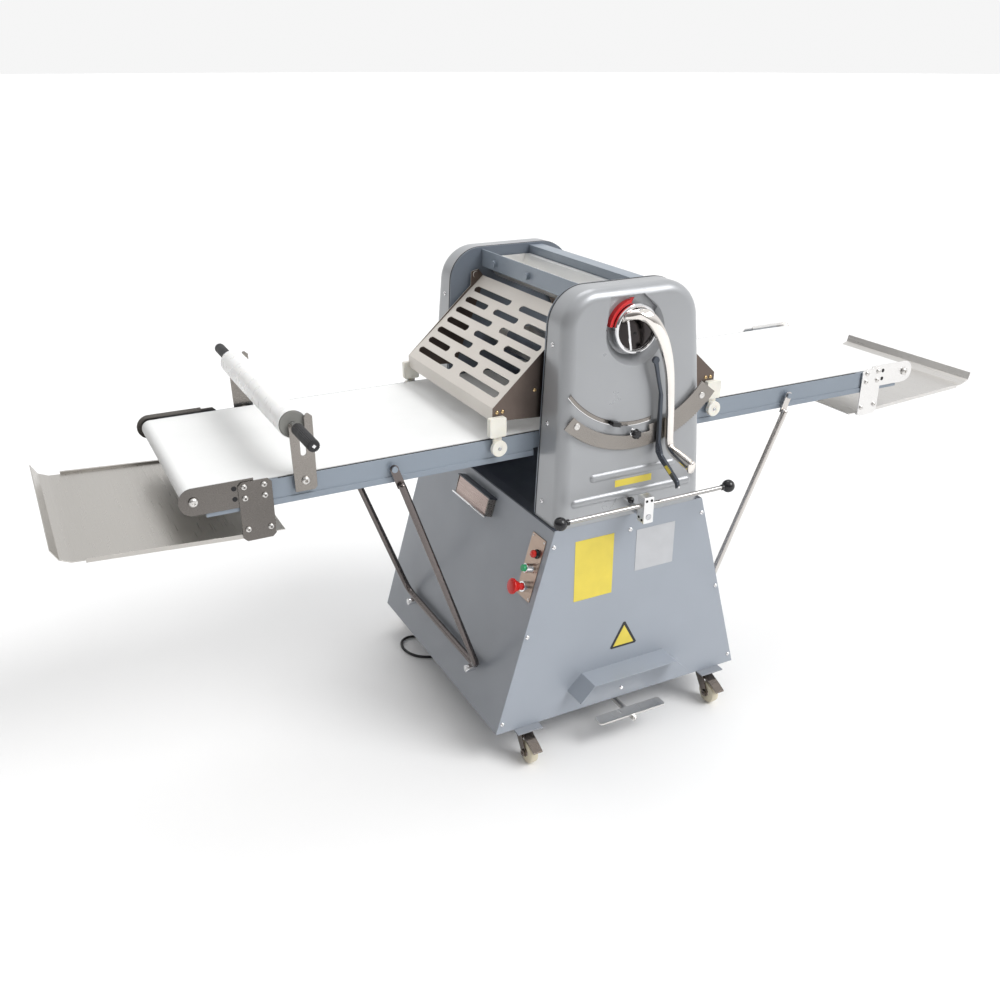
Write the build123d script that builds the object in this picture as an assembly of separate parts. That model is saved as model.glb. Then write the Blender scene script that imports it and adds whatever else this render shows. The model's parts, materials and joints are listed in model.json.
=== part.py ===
from build123d import *
import math
import os

# Floor-standing reversible dough sheeter.  Millimetres, +Z up, floor at z = 0.
# X runs along the conveyor and the operator stands at -Y.  The machine is drawn about
# the belts' mid-plane (y = 0) and exported so that its bounding box is centred.

FRAME_SHIFT_Y = 30.0

# ---- driving dimensions ---------------------------------------------------------
BELT_WIDTH = 500.0
BELT_TOP_Z = 858.0
BELT_THICK = 2.0
ROLLER_R = 44.0            # the two sheeting rollers
ROLLER_GAP = 20.0          # gap between them as set by the crank at rest
TURN_R = 18.5              # inside radius of each belt loop
END_ROLLER_X = 1027.0      # centre of the roller at each table's outer end
DRIVE_ROLLER_X = 85.0      # belt drive rollers, also the axes that the tables fold about

BASE_BOTTOM_Z = 98.5
BASE_TOP_Z = 642.0
BASE_BOTTOM_HALF = 380.0   # half-width in X at the floor plate
BASE_TOP_HALF = 219.5      # half-width in X at the deck
BASE_HALF_DEPTH = 380.0
SHEET = 3.0

TOWER_TOP_Z = 1206.0
TOWER_FOOT_HALF = 214.0
TOWER_TOP_HALF = 184.0
CORNER_R = 92.0
SIDE_PLATE_IN = 264.0
SIDE_PLATE_OUT = 270.0
CRANK_Z = 1108.0

RAIL_OUT = 258.0
RAIL_IN = 255.0
RAIL_TOP_Z = 856.0
RAIL_LOW_Z = 797.0
STRUT_TOP = (-581.5, 832.6)
STRUT_FOOT = (-361.0, 213.0)
STRUT_R = 9.0
PIN_AXIS = (-803.0, 975.0)
GUARD_PIVOT = (-117.0, 1135.0)
CASTER_X = 292.0
CASTER_SWIVEL_Y = 362.0
CASTER_TRAIL = 35.0
WHEEL_R = 31.0
CORD_R = 4.0

TURN_Z = BELT_TOP_Z - BELT_THICK - TURN_R
LOWER_ROLLER_Z = BELT_TOP_Z + 1.0 - ROLLER_R
UPPER_ROLLER_Z = LOWER_ROLLER_Z + 2 * ROLLER_R + ROLLER_GAP


# ---- small helpers --------------------------------------------------------------
def block(x0, x1, y0, y1, z0, z1):
    """A box between two corners."""
    centre = Pos((x0 + x1) / 2, (y0 + y1) / 2, (z0 + z1) / 2)
    return centre * Box(abs(x1 - x0), abs(y1 - y0), abs(z1 - z0))


def rod_x(y, z, radius, x0, x1):
    return Pos((x0 + x1) / 2, y, z) * Rot(0, 90, 0) * Cylinder(radius, abs(x1 - x0))


def rod_y(x, z, radius, y0, y1):
    return Pos(x, (y0 + y1) / 2, z) * Rot(90, 0, 0) * Cylinder(radius, abs(y1 - y0))


def rod_z(x, y, radius, z0, z1):
    return Pos(x, y, (z0 + z1) / 2) * Cylinder(radius, abs(z1 - z0))


def outline_xz(points):
    """A closed face in the XZ plane with straight edges."""
    return make_face(Polyline(*[(x, 0, z) for x, z in points], close=True))


def slab(face, y0, y1):
    """A face of the XZ plane made into a plate between two y."""
    return Pos(0, min(y0, y1), 0) * extrude(face, amount=abs(y1 - y0), dir=(0, 1, 0))


def plate(points, y0, y1):
    return slab(outline_xz(points), y0, y1)


def both_sides(shape):
    """The shape and its mirror image across the belts' mid-plane."""
    return [shape, mirror(shape, Plane.XZ)]


def to_right(shape):
    """The right-hand copy of a left-hand piece, or of a list of them."""
    if isinstance(shape, list):
        return [mirror(piece, Plane.YZ) for piece in shape]
    return mirror(shape, Plane.YZ)


def fused(shapes):
    whole = shapes[0]
    for shape in shapes[1:]:
        whole = whole + shape
    return whole


def round_rims(shape, radius):
    """Round every full circular edge of a turned piece."""
    return fillet([e for e in shape.edges() if e.geom_type == GeomType.CIRCLE], radius)


def save(name, shape):
    """Write one node, moved so that the machine's box is centred on the origin."""
    solids = []
    for piece in shape if isinstance(shape, list) else [shape]:
        solids += [Pos(0, FRAME_SHIFT_Y, 0) * solid for solid in piece.solids()]
    node = solids[0] if len(solids) == 1 else Compound(children=solids)
    export_step(node, os.path.join("parts", name + ".step"))


# ---- screws ---------------------------------------------------------------------
SCREW_R = 3.0
SCREW_HOLE_R = 3.1
HEAD_R = 6.0
HEAD_H = 3.2
PANEL_SCREWS = [(-222, 600), (-292, 366), (-362, 126), (362, 126), (292, 366), (222, 600),
                (0, 600), (0, 126)]
COVER_SCREWS = [(-1, 1080), (-1, 890), (-1, 690), (1, 1080), (1, 890), (1, 690)]
COVER_SCREW_Y = 300.0
STUD_Z = 193.5
STUD_Y = 200.0
STUD_R = 10.0
STUD_OUT = 30.0


def screw_y(x, y, z, outward, grip):
    """A machine screw along Y whose head sits on a face; outward is -1 front, +1 rear."""
    head = rod_y(x, z, HEAD_R, y, y + outward * HEAD_H)
    return head + rod_y(x, z, SCREW_R, y, y - outward * grip)


def screw_x(sign, side, z):
    """A machine screw through a cover's flank, along X."""
    x = sign * (tower_half(z) + 0.4)
    y = side * COVER_SCREW_Y
    head = rod_x(y, z, HEAD_R, x, x + sign * HEAD_H)
    return head + rod_x(y, z, SCREW_R, x, x - sign * 6)


def screws():
    """Every visible machine screw, and the studs that the table struts stand on."""
    group = [screw_y(x, side * BASE_HALF_DEPTH, z, side, 2 * SHEET)
             for x, z in PANEL_SCREWS for side in (-1, 1)]
    group += [screw_x(sign, side, z) for sign, z in COVER_SCREWS for side in (-1, 1)]
    for sign in (-1, 1):
        x = sign * (base_half(STUD_Z - STUD_R) + 0.1)
        group += [rod_x(y, STUD_Z, STUD_R, x, x + sign * STUD_OUT)
                  for y in (-STUD_Y, STUD_Y)]
    return group


# ---- base -----------------------------------------------------------------------
SIDE_SLOPE = (BASE_BOTTOM_HALF - BASE_TOP_HALF) / (BASE_TOP_Z - BASE_BOTTOM_Z)
SIDE_ANGLE = math.atan(SIDE_SLOPE)
PANEL_IN = BASE_HALF_DEPTH - SHEET
DECK_RIM_Z = BASE_TOP_Z - SHEET
PAN_HALF_X = 190.0
PAN_HALF_Y = 256.0
PAN_DEPTH = 40.0
GUARD_TOP_Z = 210.0
GUARD_HALF_X = 128.0
GUARD_DEPTH = 67.0
GUARD_FLAP = 42.0


def base_half(z):
    """Half-width of the base's outer face at a height."""
    return BASE_BOTTOM_HALF - (z - BASE_BOTTOM_Z) * SIDE_SLOPE


def base_outline(inset, z0, z1):
    wide = inset / math.cos(SIDE_ANGLE)
    return [(-base_half(z0) + wide, z0), (base_half(z0) - wide, z0),
            (base_half(z1) - wide, z1), (-base_half(z1) + wide, z1)]


def base_shell():
    """Two sloping sides, the floor plate, panel flanges and the pedal shaft's two hangers."""
    outer = plate(base_outline(0, BASE_BOTTOM_Z, DECK_RIM_Z), -PANEL_IN, PANEL_IN)
    inner = plate(base_outline(SHEET, BASE_BOTTOM_Z + SHEET, BASE_TOP_Z), -400, 400)
    ring = plate(base_outline(SHEET / 2, BASE_BOTTOM_Z + 1, DECK_RIM_Z), 0, SHEET)
    window = plate(base_outline(30, BASE_BOTTOM_Z + 40, DECK_RIM_Z - 50), -1, SHEET + 1)
    flange = ring - window
    shell = outer - inner
    for y in (-PANEL_IN, PANEL_IN - SHEET):
        shell = shell + Pos(0, y, 0) * flange
    for x, z in PANEL_SCREWS:
        shell = shell - rod_y(x, z, SCREW_HOLE_R, -400, 400)
    for y in SHAFT_HANGERS_Y:
        hanger = block(-16, 16, y, y + 6, PEDAL_SHAFT_Z - 14, BASE_BOTTOM_Z + 1)
        shell = shell + (hanger - rod_y(0, PEDAL_SHAFT_Z, PEDAL_SHAFT_R + 0.05, y - 1, y + 7))
    return shell


def base_panel(side):
    """The flat trapezoid that closes the base at the front (-1) or the rear (+1)."""
    panel = plate(base_outline(0, BASE_BOTTOM_Z, BASE_TOP_Z), side * PANEL_IN,
                  side * BASE_HALF_DEPTH)
    for x, z in PANEL_SCREWS:
        panel = panel - rod_y(x, z, SCREW_HOLE_R, -400, 400)
    return panel


def base_deck():
    """The top plate, pressed down between the tower's sides into a shallow flour pan."""
    z = BASE_TOP_Z
    low = z - PAN_DEPTH
    top = plate(base_outline(0, DECK_RIM_Z, z), -PANEL_IN, PANEL_IN)
    pan = block(-PAN_HALF_X - 2, PAN_HALF_X + 2, -PAN_HALF_Y - 2, PAN_HALF_Y + 2, low - 2, z)
    well = block(-PAN_HALF_X, PAN_HALF_X, -PAN_HALF_Y, PAN_HALF_Y, low, z + 1)
    chain_slot = block(-66, 66, 290, 316, z - 5, z + 1)
    return top + pan - well - chain_slot


def pedal_guard():
    """A bent strip that shields the foot pedal: flat top, both ends turned down."""
    x0 = GUARD_HALF_X
    x1 = x0 + GUARD_FLAP
    low = GUARD_TOP_Z - GUARD_FLAP
    outer = [(-x1, low), (-x0, GUARD_TOP_Z), (x0, GUARD_TOP_Z), (x1, low)]
    under = GUARD_TOP_Z - 2.5
    inner = [(x1 - 3.5, low), (x0 - 1.1, under), (-x0 + 1.1, under), (-x1 + 3.5, low)]
    return plate(outer + inner, -BASE_HALF_DEPTH - GUARD_DEPTH, -BASE_HALF_DEPTH)


# ---- tower ----------------------------------------------------------------------
FACE_FOOT = 379.5          # the cover's front face leans back from here ...
FACE_MID = 366.0
FACE_TOP = 344.0           # ... to here
FACE_MID_Z = 960.0
BOWL_FLOOR_Y = -335.0
BOWL_FLOOR_R = 66.0
BOWL_MOUTH_R = 96.0
BOWL_DEPTH = 36.0
BOWL_FLAT_Z = 1186.0       # the dish is cut off straight along its upper edge ...
BOWL_LEFT = -81.0          # ... and along its left side
RIBS = [(758.5, 115.0), (702.5, 166.0)]     # height and half-length of each bead
RIB_R = 13.0
RIB_PROUD = 7.0
BEAM_Z = (1154.0, 1200.0)
LEDGE_Z = 1176.0


def tower_half(z):
    """Half-width of the tower at a height, below its rounded corners."""
    share = (z - BASE_TOP_Z) / (TOWER_TOP_Z - BASE_TOP_Z)
    return TOWER_FOOT_HALF + (TOWER_TOP_HALF - TOWER_FOOT_HALF) * share


def tower_outline(inset):
    """The tower's side profile: tapering sides and two large rounded corners."""
    foot = TOWER_FOOT_HALF - inset
    top = TOWER_TOP_HALF - inset
    high = TOWER_TOP_Z - inset
    face = outline_xz([(-foot, BASE_TOP_Z), (foot, BASE_TOP_Z), (top, high), (-top, high)])
    corners = [v for v in face.vertices() if v.Z > high - 1]
    return fillet(corners, CORNER_R - inset)


def side_plates():
    """The two upright plates that carry the rollers, the tables and the guards."""
    body = slab(tower_outline(0), SIDE_PLATE_IN, SIDE_PLATE_OUT)
    low = UPPER_ROLLER_Z - 26
    high = UPPER_ROLLER_Z + 22
    slot = block(-13, 13, 200, 300, low, high) + rod_y(0, low, 13, 200, 300)
    body = body - slot - rod_y(0, high, 13, 200, 300)
    body = body - rod_y(0, LOWER_ROLLER_Z, 14.05, 200, 300)
    for sign in (-1, 1):
        body = body - rod_y(sign * DRIVE_ROLLER_X, TURN_Z, 8.05, 200, 300)
        body = body - rod_y(sign * GUARD_PIVOT[0], GUARD_PIVOT[1], 5.05, 200, 300)
    return both_sides(body)


def face_profile(inset, behind):
    """Side view of a cover: upright back, front face leaning back towards the top."""
    low = BASE_TOP_Z
    high = TOWER_TOP_Z - inset
    foot = (0, -FACE_FOOT + inset, low)
    middle = (0, -FACE_MID + inset, FACE_MID_Z)
    top = (0, -FACE_TOP + inset, high)
    edges = [Line((0, -behind, low), foot), ThreePointArc(foot, middle, top),
             Line(top, (0, -behind, high)), Line((0, -behind, high), (0, -behind, low))]
    return make_face(edges)


def cover_form(inset, behind, round_r):
    """A cover's outer or inner form, with the rim of its front face rounded."""
    upright = slab(tower_outline(inset), -400, -behind)
    lean = Pos(-300, 0, 0) * extrude(face_profile(inset, behind), amount=600, dir=(1, 0, 0))
    form = upright & lean
    front_y = -FACE_TOP + inset + 3
    rim = [e for e in form.edges() if e.center().Y < front_y and e.center().Z > BASE_TOP_Z + 20]
    return fillet(rim, round_r)


def cover_blank():
    """A plain moulded cover, open towards the side plate."""
    outer = cover_form(0, SIDE_PLATE_OUT, 30)
    return outer - cover_form(SHEET, SIDE_PLATE_OUT - 5, 27)


def bowl(grow):
    """The dished seat behind the crank's hub, or its lining when grown by the sheet."""
    depth = BOWL_DEPTH + grow
    cone = Cone(BOWL_FLOOR_R + grow, BOWL_MOUTH_R + grow, depth)
    cone = Pos(0, BOWL_FLOOR_Y + grow - depth / 2, CRANK_Z) * Rot(90, 0, 0) * cone
    cone = cone & block(BOWL_LEFT - grow, 200, -400, -300, 900, BOWL_FLAT_Z + grow)
    corners = [(BOWL_LEFT - grow, CRANK_Z), (BOWL_LEFT + 14 - grow, BOWL_FLAT_Z + grow),
               (26 + grow, BOWL_FLAT_Z + grow), (62 + grow, 1152), (62 + grow, CRANK_Z)]
    return cone + plate(corners, BOWL_FLOOR_Y + grow - depth, BOWL_FLOOR_Y + grow)


def bead(z, half):
    """A horizontal half-round bead pressed out of a cover's face."""
    face_y = -FACE_FOOT + 8 * (z - BASE_TOP_Z) / 190
    y = face_y + RIB_R - RIB_PROUD
    form = rod_x(y, z, RIB_R, -half, half)
    for x in (-half, half):
        form = form + Pos(x, y, z) * Sphere(RIB_R)
    reach = half + RIB_R + 1
    return form & block(-reach, reach, y - RIB_R - 1, face_y + 2.5, z - 15, z + 15)


def drilled_flanks(shell, side):
    """The holes in a cover's flanks for the screws that hold it."""
    for sign, z in COVER_SCREWS:
        x = sign * tower_half(z)
        shell = shell - rod_x(side * COVER_SCREW_Y, z, SCREW_HOLE_R, x - 12, x + 12)
    return shell


def front_cover():
    """The operator's side: a dished seat for the crank and two stiffening beads."""
    outer = cover_form(0, SIDE_PLATE_OUT, 30)
    shell = cover_blank() + (bowl(SHEET) & outer) - bowl(0)
    shell = shell - rod_y(0, CRANK_Z, 10.1, -400, -300)
    for z, half in RIBS:
        shell = shell + bead(z, half)
    return drilled_flanks(shell, -1)


def rear_cover():
    return drilled_flanks(mirror(cover_blank(), Plane.XZ), 1)


def cross_beams():
    """Two folded bars that tie the side plates together, and two rubber stops.

    Each bar has a ledge along its inner side that a rim of the flour tray rests on.
    """
    left = block(-93, -90, -SIDE_PLATE_IN, SIDE_PLATE_IN, *BEAM_Z)
    left = left + block(-91, -74, -SIDE_PLATE_IN, SIDE_PLATE_IN, LEDGE_Z - 3, LEDGE_Z)
    right = block(56, 78, -SIDE_PLATE_IN, SIDE_PLATE_IN, BEAM_Z[0] + 12, BEAM_Z[1])
    right = right + block(42, 57, -SIDE_PLATE_IN, SIDE_PLATE_IN, LEDGE_Z - 3, LEDGE_Z)
    lip = block(78, 96, -SIDE_PLATE_IN, SIDE_PLATE_IN, BEAM_Z[1] - 3, BEAM_Z[1])
    stops = [rod_x(y, 1174, 9, -103, -93) for y in (-2, 180)]
    return [left, right + lip, *stops]


TRAY_X = (-73.5, 41.5)
TRAY_FLOOR_Z = 1122.0


def flour_tray():
    """The lift-off flour trough whose rims rest on the cross-beams' ledges."""
    x0, x1 = TRAY_X
    low = TRAY_FLOOR_Z
    high = LEDGE_Z + 2.5
    shape = [(x0 + 1, high), (x0 + 14, low + 10), (x0 + 30, low), (x1 - 30, low),
             (x1 - 14, low + 10), (x1 - 1, high)]
    inner = [(x0 + 3, high + 1), (x0 + 16, low + 11), (x0 + 31, low + 2), (x1 - 31, low + 2),
             (x1 - 16, low + 11), (x1 - 3, high + 1)]
    trough = plate(shape, -258, 258) - plate(inner, -256, 256)
    rims = [block(x0 - 12, x0 + 2.2, -256, 256, LEDGE_Z + 0.3, high),
            block(x1 - 2.2, x1 + 12, -256, 256, LEDGE_Z + 0.3, high)]
    return fused([trough, *rims])


# ---- sheeting rollers and their drive ---------------------------------------------
ROLLER_HALF = 258.0
MOTOR_Z = 395.0
SPROCKET_Y = (300.0, 306.0)
ROLLER_TEETH = 24
MOTOR_TEETH = 15
CHAIN_PITCH = 12.7


def lower_roller():
    body = round_rims(rod_y(0, LOWER_ROLLER_Z, ROLLER_R, -ROLLER_HALF, ROLLER_HALF), 1.5)
    return body + rod_y(0, LOWER_ROLLER_Z, 14, -284, 312)


def upper_roller():
    body = round_rims(rod_y(0, UPPER_ROLLER_Z, ROLLER_R, -ROLLER_HALF, ROLLER_HALF), 1.5)
    return body + rod_y(0, UPPER_ROLLER_Z, 12, -291, 291)


def bearing_blocks():
    """The blocks outside the side plates that carry the upper roller, and their lift rods."""
    z = UPPER_ROLLER_Z
    blocks = []
    for side in (-1, 1):
        body = block(-30, 30, side * 272, side * 292, z - 32, z + 32)
        body = body - rod_y(0, z, 12.05, -300, 300)
        blocks.append(body + rod_z(0, side * 282, 7, z + 30, z + 110))
    return blocks


def scrapers():
    """A blade on each side of the upper roller, on yokes that ride on its journals."""
    z = UPPER_ROLLER_Z
    blade = plate([(-45.5, z + 4), (-61, z + 46), (-76, z + 46), (-76, z + 44),
                   (-62.4, z + 44), (-47.2, z + 3)], -262, 262)
    yoke = plate([(-76, z + 46), (76, z + 46), (76, z + 40), (20, z - 18), (-20, z - 18),
                  (-76, z + 40)], 259, 262) - rod_y(0, z, 12.06, 200, 300)
    roller_room = rod_y(0, z, ROLLER_R + 0.6, -258.6, 258.6)
    return fused([blade, mirror(blade, Plane.YZ), *both_sides(yoke)]) - roller_room


def pitch_radius(teeth):
    return CHAIN_PITCH / (2 * math.sin(math.pi / teeth))


def sprocket(z, teeth, bore):
    """A chain sprocket whose teeth are left between round gullets."""
    radius = pitch_radius(teeth)
    wheel = rod_y(0, z, radius + 2.5, *SPROCKET_Y) - rod_y(0, z, bore, 290, 315)
    for tooth in range(teeth):
        angle = 2 * math.pi * tooth / teeth
        gullet_z = z + radius * math.sin(angle)
        wheel = wheel - rod_y(radius * math.cos(angle), gullet_z, 4.1, 295, 312)
    return wheel


def gear_motor():
    """Motor, gearbox, foot and output shaft with its sprocket."""
    barrel = round_rims(rod_y(0, MOTOR_Z, 72, -60, 190), 8)
    gearbox = block(-82, 82, 180, 284, MOTOR_Z - 82, MOTOR_Z + 82)
    shaft = rod_y(0, MOTOR_Z, 12, 284, 312)
    foot = block(-110, 110, 0, 284, MOTOR_Z - 92, MOTOR_Z - 82)
    pad = block(-50, 50, 20, 160, MOTOR_Z - 84, MOTOR_Z - 60)
    return fused([barrel, gearbox, shaft, foot, pad, sprocket(MOTOR_Z, MOTOR_TEETH, 11.5)])


def motor_bridge():
    """The cross-member inside the base that the motor's foot is bolted to."""
    z = MOTOR_Z - 92
    return plate(base_outline(SHEET + 0.1, z - 8, z), 40, 250)


def chain_loop(grow):
    """The area inside a chain line run round both sprockets, grown by a margin."""
    top = pitch_radius(ROLLER_TEETH) + grow
    low = pitch_radius(MOTOR_TEETH) + grow
    lean = math.asin((top - low) / (LOWER_ROLLER_Z - MOTOR_Z))
    c, k = math.cos(lean), math.sin(lean)
    sides = plate([(-top * c, LOWER_ROLLER_Z + top * k), (top * c, LOWER_ROLLER_Z + top * k),
                   (low * c, MOTOR_Z + low * k), (-low * c, MOTOR_Z + low * k)], *SPROCKET_Y)
    return sides + rod_y(0, LOWER_ROLLER_Z, top, *SPROCKET_Y) + rod_y(0, MOTOR_Z, low, *SPROCKET_Y)


def drive_chain():
    """The roller chain drawn as a closed band just outside the sprockets' teeth."""
    return chain_loop(9) - chain_loop(3)


# ---- folding tables ---------------------------------------------------------------
FRAME_OUT_X = -1003.0
RAIL_NEAR_X = -215.0
ARM_NEAR_X = -64.0
BED_TOP_Z = 855.6
LIP_OUT_X = -897.0         # the proud strip along each rail's lower edge
LIP_OUT = 260.0
LIP_TOP_Z = 811.0
CROSS_BARS = [-190, -390, -590, -790, -985]
END_BOSS_R = 31.0


def table_frame():
    """Side rails, hinge arms, slider bed and cross-bars of the left table."""
    parts = [block(FRAME_OUT_X, -DRIVE_ROLLER_X - 24, -RAIL_IN, RAIL_IN,
                   BED_TOP_Z - 2, BED_TOP_Z)]
    for x in CROSS_BARS:
        parts.append(block(x - 10, x + 10, -RAIL_IN, RAIL_IN, 824, 846))
    parts.append(block(FRAME_OUT_X, FRAME_OUT_X + 5, -RAIL_IN, RAIL_IN, 824, BED_TOP_Z))
    for side in (-1, 1):
        parts.append(block(FRAME_OUT_X, RAIL_NEAR_X, side * RAIL_IN, side * RAIL_OUT,
                           RAIL_LOW_Z, RAIL_TOP_Z))
        parts.append(block(LIP_OUT_X, RAIL_NEAR_X, side * RAIL_IN, side * LIP_OUT,
                           RAIL_LOW_Z, LIP_TOP_Z))
        parts.append(block(FRAME_OUT_X, RAIL_NEAR_X, side * 232, side * RAIL_IN,
                           RAIL_LOW_Z, RAIL_LOW_Z + 3))
        parts.append(block(-300, ARM_NEAR_X, side * 251, side * RAIL_IN, 814, 853))
    frame = fused(parts)
    frame = frame - rod_y(-DRIVE_ROLLER_X, TURN_Z, 8.1, -300, 300)
    return frame


def belt():
    """The endless belt: two flat runs joined round the end and drive rollers."""
    outer = TURN_R + BELT_THICK
    half = BELT_WIDTH / 2
    form = block(-END_ROLLER_X, -DRIVE_ROLLER_X, -half, half, TURN_Z - outer, TURN_Z + outer)
    hollow = block(-END_ROLLER_X, -DRIVE_ROLLER_X, -260, 260, TURN_Z - TURN_R, TURN_Z + TURN_R)
    for x in (-END_ROLLER_X, -DRIVE_ROLLER_X):
        form = form + rod_y(x, TURN_Z, outer, -half, half)
        hollow = hollow + rod_y(x, TURN_Z, TURN_R, -260, 260)
    return form - hollow


def end_plates():
    """Rounded roller brackets at the table's end, with the hangers for the catch tray."""
    low, high = 807.0, 869.0
    body = block(-END_ROLLER_X, -898, RAIL_OUT, 261, low, high)
    body = body + rod_y(-END_ROLLER_X, TURN_Z + 0.5, END_BOSS_R, RAIL_OUT, 261)
    body = body - rod_y(-END_ROLLER_X, TURN_Z, 6.1, 200, 300)
    hanger = plate([(-933, 807), (-933, 735), (-924, 726), (-868, 726), (-860, 734),
                    (-860, 856), (-868, 864), (-925, 864), (-933, 856)], 261, 264)
    bolts = [rod_y(x, z, 4.5, 264, 267) for x, z in
             [(-877, 852), (-877, 827), (-920, 853), (-920, 827), (-920, 754), (-871, 751)]]
    whole = fused([body, hanger, *bolts])
    return both_sides(whole)


def end_roller():
    """The idler inside the belt's outer turn, on its own axle."""
    return rod_y(-END_ROLLER_X, TURN_Z, TURN_R - 0.35, -249, 249) \
        + rod_y(-END_ROLLER_X, TURN_Z, 6, -263, 263)


def drive_roller():
    return rod_y(-DRIVE_ROLLER_X, TURN_Z, TURN_R - 0.35, -249, 249) \
        + rod_y(-DRIVE_ROLLER_X, TURN_Z, 8, -276, 276)


LEFT_TRAY = [(-838, 733), (-1277, 755.5), (-1299, 765), (-1313, 790)]
RIGHT_TRAY = [(-838, 733), (-1297, 756.5), (-1326, 768), (-1332, 790)]
TRAY_SHEET = 2.0
TRAY_Y = 254.0
HANGER_Y = 261.0           # inner face of the tray hangers


def underside(points, thick):
    """The lower side of a bent sheet whose upper side is given, from the far end back."""
    normals = []
    for (xa, za), (xb, zb) in zip(points, points[1:]):
        run = math.dist((xa, za), (xb, zb))
        normals.append(((za - zb) / run, (xb - xa) / run))
    lower = []
    for i, (x, z) in enumerate(points):
        before = normals[max(i - 1, 0)]
        after = normals[min(i, len(normals) - 1)]
        nx, nz = before[0] + after[0], before[1] + after[1]
        grow = 2 * thick / (nx * nx + nz * nz)
        lower.append((x + nx * grow, z + nz * grow))
    return lower[::-1]


def catch_tray(profile):
    """A bent sheet under the table's end, carried by a bar along each side."""
    (x0, z0), (x1, z1) = profile[:2]
    parts = [plate(profile + underside(profile, TRAY_SHEET), -TRAY_Y, TRAY_Y)]
    bar = [(x0 - 24, z0 + 6), (x1 + 26, z1 + 4), (x1 + 26, z1 - 5), (x0 - 24, z0 - 4)]
    for side in (-1, 1):
        parts.append(plate(bar, side * TRAY_Y, side * HANGER_Y))
        parts.append(block(-930, -868, side * 256, side * HANGER_Y, 735, 760))
    return fused(parts)


STRUT_FOOT_Y = 238.0
STRUT_TOP_Y = 267.0
STRUT_BEND = 34.0


def strut():
    """The U-shaped stay of the left table, its ends flattened on the rails' bolts."""
    (tx, tz), (fx, fz) = STRUT_TOP, STRUT_FOOT
    share = 0.93           # how far up the stay its round part reaches
    neck_y = STRUT_TOP_Y + STRUT_R
    neck = (fx + (tx - fx) * share, neck_y, fz + (tz - fz) * share)
    points = [(neck[0], -neck_y, neck[2]), (fx, -STRUT_FOOT_Y, fz), (fx, STRUT_FOOT_Y, fz), neck]
    path = FilletPolyline(*points, radius=STRUT_BEND)
    start = Plane(origin=points[0], z_dir=path % 0)
    tube = sweep(start * Circle(STRUT_R), path=path)
    ends = []
    angle = math.degrees(math.atan2(tx - fx, tz - fz))
    for side in (-1, 1):
        y0, y1 = side * STRUT_TOP_Y, side * (STRUT_TOP_Y + 4)
        length = math.dist((tx, tz), (neck[0], neck[2]))
        strap = block(-10, 10, y0, y1, -length - 4, 0) + rod_y(0, 0, 10, y0, y1)
        strap = strap - rod_y(0, 0, 4.1, -300, 300)
        ends.append(Pos(tx, 0, tz) * Rot(0, angle, 0) * strap)
        ends.append(Pos(neck[0], side * neck_y, neck[2]) * Sphere(STRUT_R))
    return fused([tube, *ends])


def strut_bolts():
    """Shoulder bolts in the rails that the strut's ends swing on."""
    (tx, tz) = STRUT_TOP
    pieces = []
    for side in (-1, 1):
        face = STRUT_TOP_Y + 4.4
        shank = rod_y(tx, tz, 4, side * RAIL_OUT, side * face)
        spacer = rod_y(tx, tz, 9, side * RAIL_OUT, side * (STRUT_TOP_Y - 0.4))
        pieces.append(shank + spacer + rod_y(tx, tz, 7.5, side * face, side * (face + 4)))
    return pieces


# ---- rolling pin ------------------------------------------------------------------
PIN_R = 32.0
PIN_ROD_R = 6.0
PIN_PLATE_X = -787.0
PIN_PLATE_Y = (267.0, 271.0)


def pin_brackets():
    """Two slotted uprights bolted to the left table's rails, open hooks at the top."""
    x, z = PIN_AXIS
    y0, y1 = PIN_PLATE_Y
    left, right = PIN_PLATE_X - 28, PIN_PLATE_X + 25
    upright = plate([(left + 4, 822), (right - 6, 822), (right, 828), (right, 990),
                     (right - 8, 997), (right - 12, 997), (right - 18, 990),
                     (right - 18, z - 8), (right - 19, z + 3), (left, z + 3)], y0, y1)
    slot = block(PIN_PLATE_X - 6.5, PIN_PLATE_X + 6.5, 260, 280, 909, 1000)
    slot = slot + rod_y(PIN_PLATE_X, 909, 6.5, 260, 280)
    hook = rod_y(x, z, PIN_ROD_R + 0.4, 260, 280)
    throat = block(x - PIN_ROD_R - 0.4, PIN_PLATE_X, 260, 280, z, 1010)
    shelf = block(x, PIN_PLATE_X, 260, 280, z - PIN_ROD_R - 0.4, z)
    upright = upright - slot - hook - throat - shelf
    bolt = rod_y(PIN_PLATE_X, 846, 4, RAIL_OUT, y1) + rod_y(PIN_PLATE_X, 846, 9, RAIL_OUT, y0)
    bolt = bolt + rod_y(PIN_PLATE_X, 846, 8, y1, y1 + 5)
    return both_sides(upright + bolt)


def pin_rod():
    """The pin's axle with a ribbed rubber grip at each end."""
    x, z = PIN_AXIS
    rod = rod_y(x, z, PIN_ROD_R, -405, 405)
    grips = []
    for side in (-1, 1):
        grip = rod_y(x, z, 13.5, side * 292, side * 411)
        grip = round_rims(grip, 3) - rod_y(x, z, PIN_ROD_R, side * 280, side * 405)
        grips.append(grip)
    return [rod, *grips]


def pin_tube():
    """The nylon rolling pin that turns on the rod."""
    x, z = PIN_AXIS
    body = round_rims(rod_y(x, z, PIN_R, -262, 262), 2)
    return body - rod_y(x, z, PIN_ROD_R + 0.06, -300, 300)


# ---- finger guards ----------------------------------------------------------------
GUARD_LOW = (-325.0, 932.0)
GUARD_HIGH = (-96.0, 1131.0)
GUARD_HALF_Y = 256.0
GUARD_ROWS = 7
GUARD_SLOT = 18.0
FOOT_X = -317.0
FOOT_WHEEL_Z = 838.0


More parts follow.
